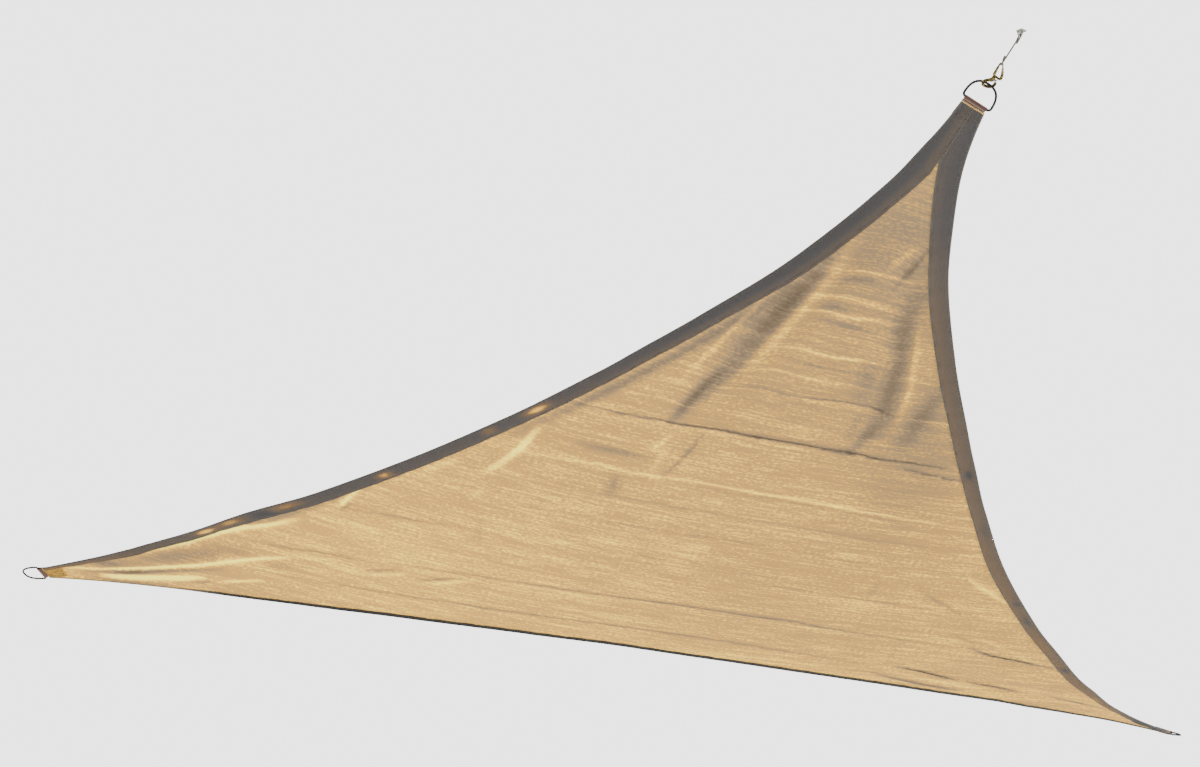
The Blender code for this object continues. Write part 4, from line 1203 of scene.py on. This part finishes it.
def make_plate(material):
    """Lozenge plate with softened edges and its staple."""
    corners = [Vector(spot) for spot in ((PLATE_HALF_LENGTH, 0), (0, PLATE_HALF_WIDTH),
                                         (-PLATE_HALF_LENGTH, 0), (0, -PLATE_HALF_WIDTH))]
    outline = []
    for k, here in enumerate(corners):
        before, after = corners[k - 1], corners[(k + 1) % 4]
        for near, shares in ((before, (0.22, 0.15, 0.08)), (after, (0.08, 0.15, 0.22))):
            outline += [here.lerp(near, share) * (1 - 0.06 * (0.22 - share) / 0.14) for share in shares]
    # Height, share of the outline's size
    levels = ((-PLATE, 0.93), (-PLATE + 0.0003, 0.98), (-PLATE + 0.0008, 1.0), (-0.0008, 1.0),
              (-0.0003, 0.98), (0.0, 0.93))
    points = [(p.x * shrink, p.y * shrink, z) for z, shrink in levels for p in outline]
    plate = add_piece("ceiling_plate", points, skin(len(levels), len(outline)), [material], angle=30)
    knee = STAPLE_LOW[2] + STAPLE_HALF
    turns = [math.pi * k / 24 for k in range(25)]
    bend = [(-STAPLE_HALF * math.cos(turn), knee - STAPLE_HALF * math.sin(turn)) for turn in turns]
    legs = [(-STAPLE_HALF, -PLATE / 2), *bend, (STAPLE_HALF, -PLATE / 2)]
    staple = tube_parts([LEVEL * aside + Vector((STAPLE_OFFSET, 0, z)) for aside, z in legs], STAPLE_WIRE, 14)
    union(plate, add_piece("staple", staple[0], staple[1], [material]))
    return plate


# ---- stage ----
FLOOR_HALF = 60.0
# From the sail towards the sun, in the sail's hung axes; from the camera to the middle of the plan
SUN_WAY = (0.62, -0.30, 0.50)
CAMERA_BACK = (0.3139, 6.8726, 1.446)
# Strength of the white that the camera sees behind the sail
BACKDROP = 3.2


def make_sky(strength):
    """Even light that is brighter from above, with a white backdrop for the camera alone."""
    world = bpy.data.worlds.new("studio")
    world.use_nodes = True
    tree = world.node_tree
    tree.nodes.clear()
    seen = add_node(tree, "LightPath").outputs["Is Camera Ray"]
    high = add_node(tree, "SeparateXYZ", {0: add_node(tree, "TexCoord").outputs["Generated"]})
    level = add_node(tree, "MapRange", {"Value": high.outputs["Z"], "From Min": -0.6, "From Max": 0.8,
                                        "To Min": strength * 0.35, "To Max": strength * 1.5})
    soft = add_node(tree, "Background", {"Color": (*hex_colour("#F4F6FA"), 1), "Strength": level})
    white = add_node(tree, "Background", {"Color": (1, 1, 1, 1), "Strength": BACKDROP})
    both = add_node(tree, "MixShader", {0: seen, 1: soft, 2: white})
    add_node(tree, "OutputWorld", {"Surface": both})
    return world


# ---- operators ----
class DressCloth(bpy.types.Operator):
    """Make the sail's cloth with its hems and seams"""
    bl_idname = "shade_sail.dress_cloth"
    bl_label = "Cloth"

    def execute(self, context):
        cloth = context.scene.sail_cloth
        sail = make_sail(cloth)
        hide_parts("sail_cloth")
        points, faces, places = join_parts(make_seams(cloth))
        thread = woven_material("twisted sewing thread", cloth.thread, 1.2 * MM)
        seams = add_piece("hem_seams", points, faces, [thread], maps={"strap": places})
        return {"FINISHED"}


class DressCorners(bpy.types.Operator):
    """Make the corner straps and their stitching"""
    bl_idname = "shade_sail.dress_corners"
    bl_label = "Corners"

    def execute(self, context):
        straps = context.scene.sail_straps
        webbing = woven_material("ribbed polyester webbing", straps.webbing, straps.rib_pitch, dark=0.35)
        thread = woven_material("bonded corner thread", context.scene.sail_cloth.thread, 1.2 * MM)
        for name in CORNERS:
            points, faces, places = strap_parts(name)
            piece = add_piece("strap_" + name, points, faces, [webbing], maps={"strap": places})
            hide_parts("webbing_" + name)
            points, faces, places = join_parts(strap_seams(name))
            piece = add_piece("strap_seams_" + name, points, faces, [thread], maps={"strap": places})
        return {"FINISHED"}


class DressFittings(bpy.types.Operator):
    """Make the rings, the snap hook, the hanging line and the fixing plate"""
    bl_idname = "shade_sail.dress_fittings"
    bl_label = "Fittings"

    def execute(self, context):
        fittings = context.scene.sail_fittings
        # Near-black rings: painted shade for steel seen dark against the light.
        steel = coated_material("steel wire painted dark for shade", fittings.ring, fittings.steel, 0.0, 0.60, 0.70)
        brass = coated_material("pale brass plating, polished", fittings.tarnish, fittings.brass,
                                1.0, 0.34, 0.47)
        zinc = coated_material("grey zinc plating", fittings.plate, fittings.steel, 0.7, 0.45, 0.6)
        for name in CORNERS:
            points, faces, _ = tube_parts(ring_points(name), RING_WIRE + RING_COAT, 18, closed=True)
            ring = add_piece("d_ring_" + name, points, faces, [steel])
            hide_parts("ring_" + name)
        for piece, node in ((make_hook(brass), "snap_hook"), (make_gate(brass), "snap_gate"),
                            (make_eye(brass), "snap_eye")):
            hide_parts(node)
        plate = make_plate(zinc)
        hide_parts("fixing_plate")
        twisted = woven_material("twisted polyester line", fittings.line, 3 * MM, dark=0.7)
        points, faces, places = tube_parts(line_path(), LINE, 24, lobes=STRANDS, lobe_depth=STRAND_DEPTH,
                                           lay=fittings.lay)
        line = add_piece("line", points, faces, [twisted], maps={"strap": places})
        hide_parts("hanging_line")
        return {"FINISHED"}


class SetStage(bpy.types.Operator):
    """Set the floor, the lights and the camera"""
    bl_idname = "shade_sail.set_stage"
    bl_label = "Stage"

    def execute(self, context):
        stage = context.scene.sail_stage
        mesh = bpy.data.meshes.new("floor")
        corners = [(x * FLOOR_HALF, y * FLOOR_HALF, 0) for x, y in ((-1, -1), (1, -1), (1, 1), (-1, 1))]
        mesh.from_pydata(corners, [], [(0, 1, 2, 3)])
        mesh.materials.append(painted_floor(stage.floor))
        floor = put("floor", mesh)
        floor.location = (0, 0, -stage.floor_drop)
        context.scene.world = make_sky(stage.sky)
        light = bpy.data.lights.new("sun", "SUN")
        light.energy = stage.sun
        light.angle = math.radians(3)
        light.color = hex_colour("#FFF3DE")
        sun = put("sun", light)
        sun.rotation_euler = Vector(HANG @ np.array(SUN_WAY)).to_track_quat("Z", "Y").to_euler()
        lens = bpy.data.cameras.new("camera")
        lens.lens = stage.lens
        lens.sensor_width = 36
        lens.clip_end = 200
        camera = put("camera", lens)
        camera.location = Vector(SHIFT) - Vector(CAMERA_BACK)
        camera.rotation_euler = (math.pi / 2 + stage.pitch, 0, 0)
        context.scene.camera = camera
        return {"FINISHED"}


class SailPanel(bpy.types.Panel):
    bl_idname = "VIEW3D_PT_shade_sail"
    bl_label = "Shade Sail"
    bl_space_type = "VIEW_3D"
    bl_region_type = "UI"
    bl_category = "Shade Sail"

    def draw(self, context):
        scene = context.scene
        for operator, group in ((DressCloth, scene.sail_cloth), (DressCorners, scene.sail_straps),
                                (DressFittings, scene.sail_fittings), (SetStage, scene.sail_stage)):
            box = self.layout.box()
            box.operator(operator.bl_idname)
            for name in group.bl_rna.properties.keys():
                if name not in ("rna_type", "name"):
                    box.prop(group, name)


GROUPS = {"sail_cloth": ClothSettings, "sail_straps": StrapSettings, "sail_fittings": FittingSettings,
          "sail_stage": StageSettings}
CLASSES = (*GROUPS.values(), DressCloth, DressCorners, DressFittings, SetStage, SailPanel)


def register():
    for item in CLASSES:
        bpy.utils.register_class(item)
    for name, group in GROUPS.items():
        setattr(bpy.types.Scene, name, bpy.props.PointerProperty(type=group))


def unregister():
    for name in GROUPS:
        delattr(bpy.types.Scene, name)
    for item in reversed(CLASSES):
        bpy.utils.unregister_class(item)


def main():
    register()
    bpy.ops.shade_sail.set_stage()
    bpy.ops.shade_sail.dress_cloth()
    bpy.ops.shade_sail.dress_corners()
    bpy.ops.shade_sail.dress_fittings()


if __name__ == "__main__":
    main()
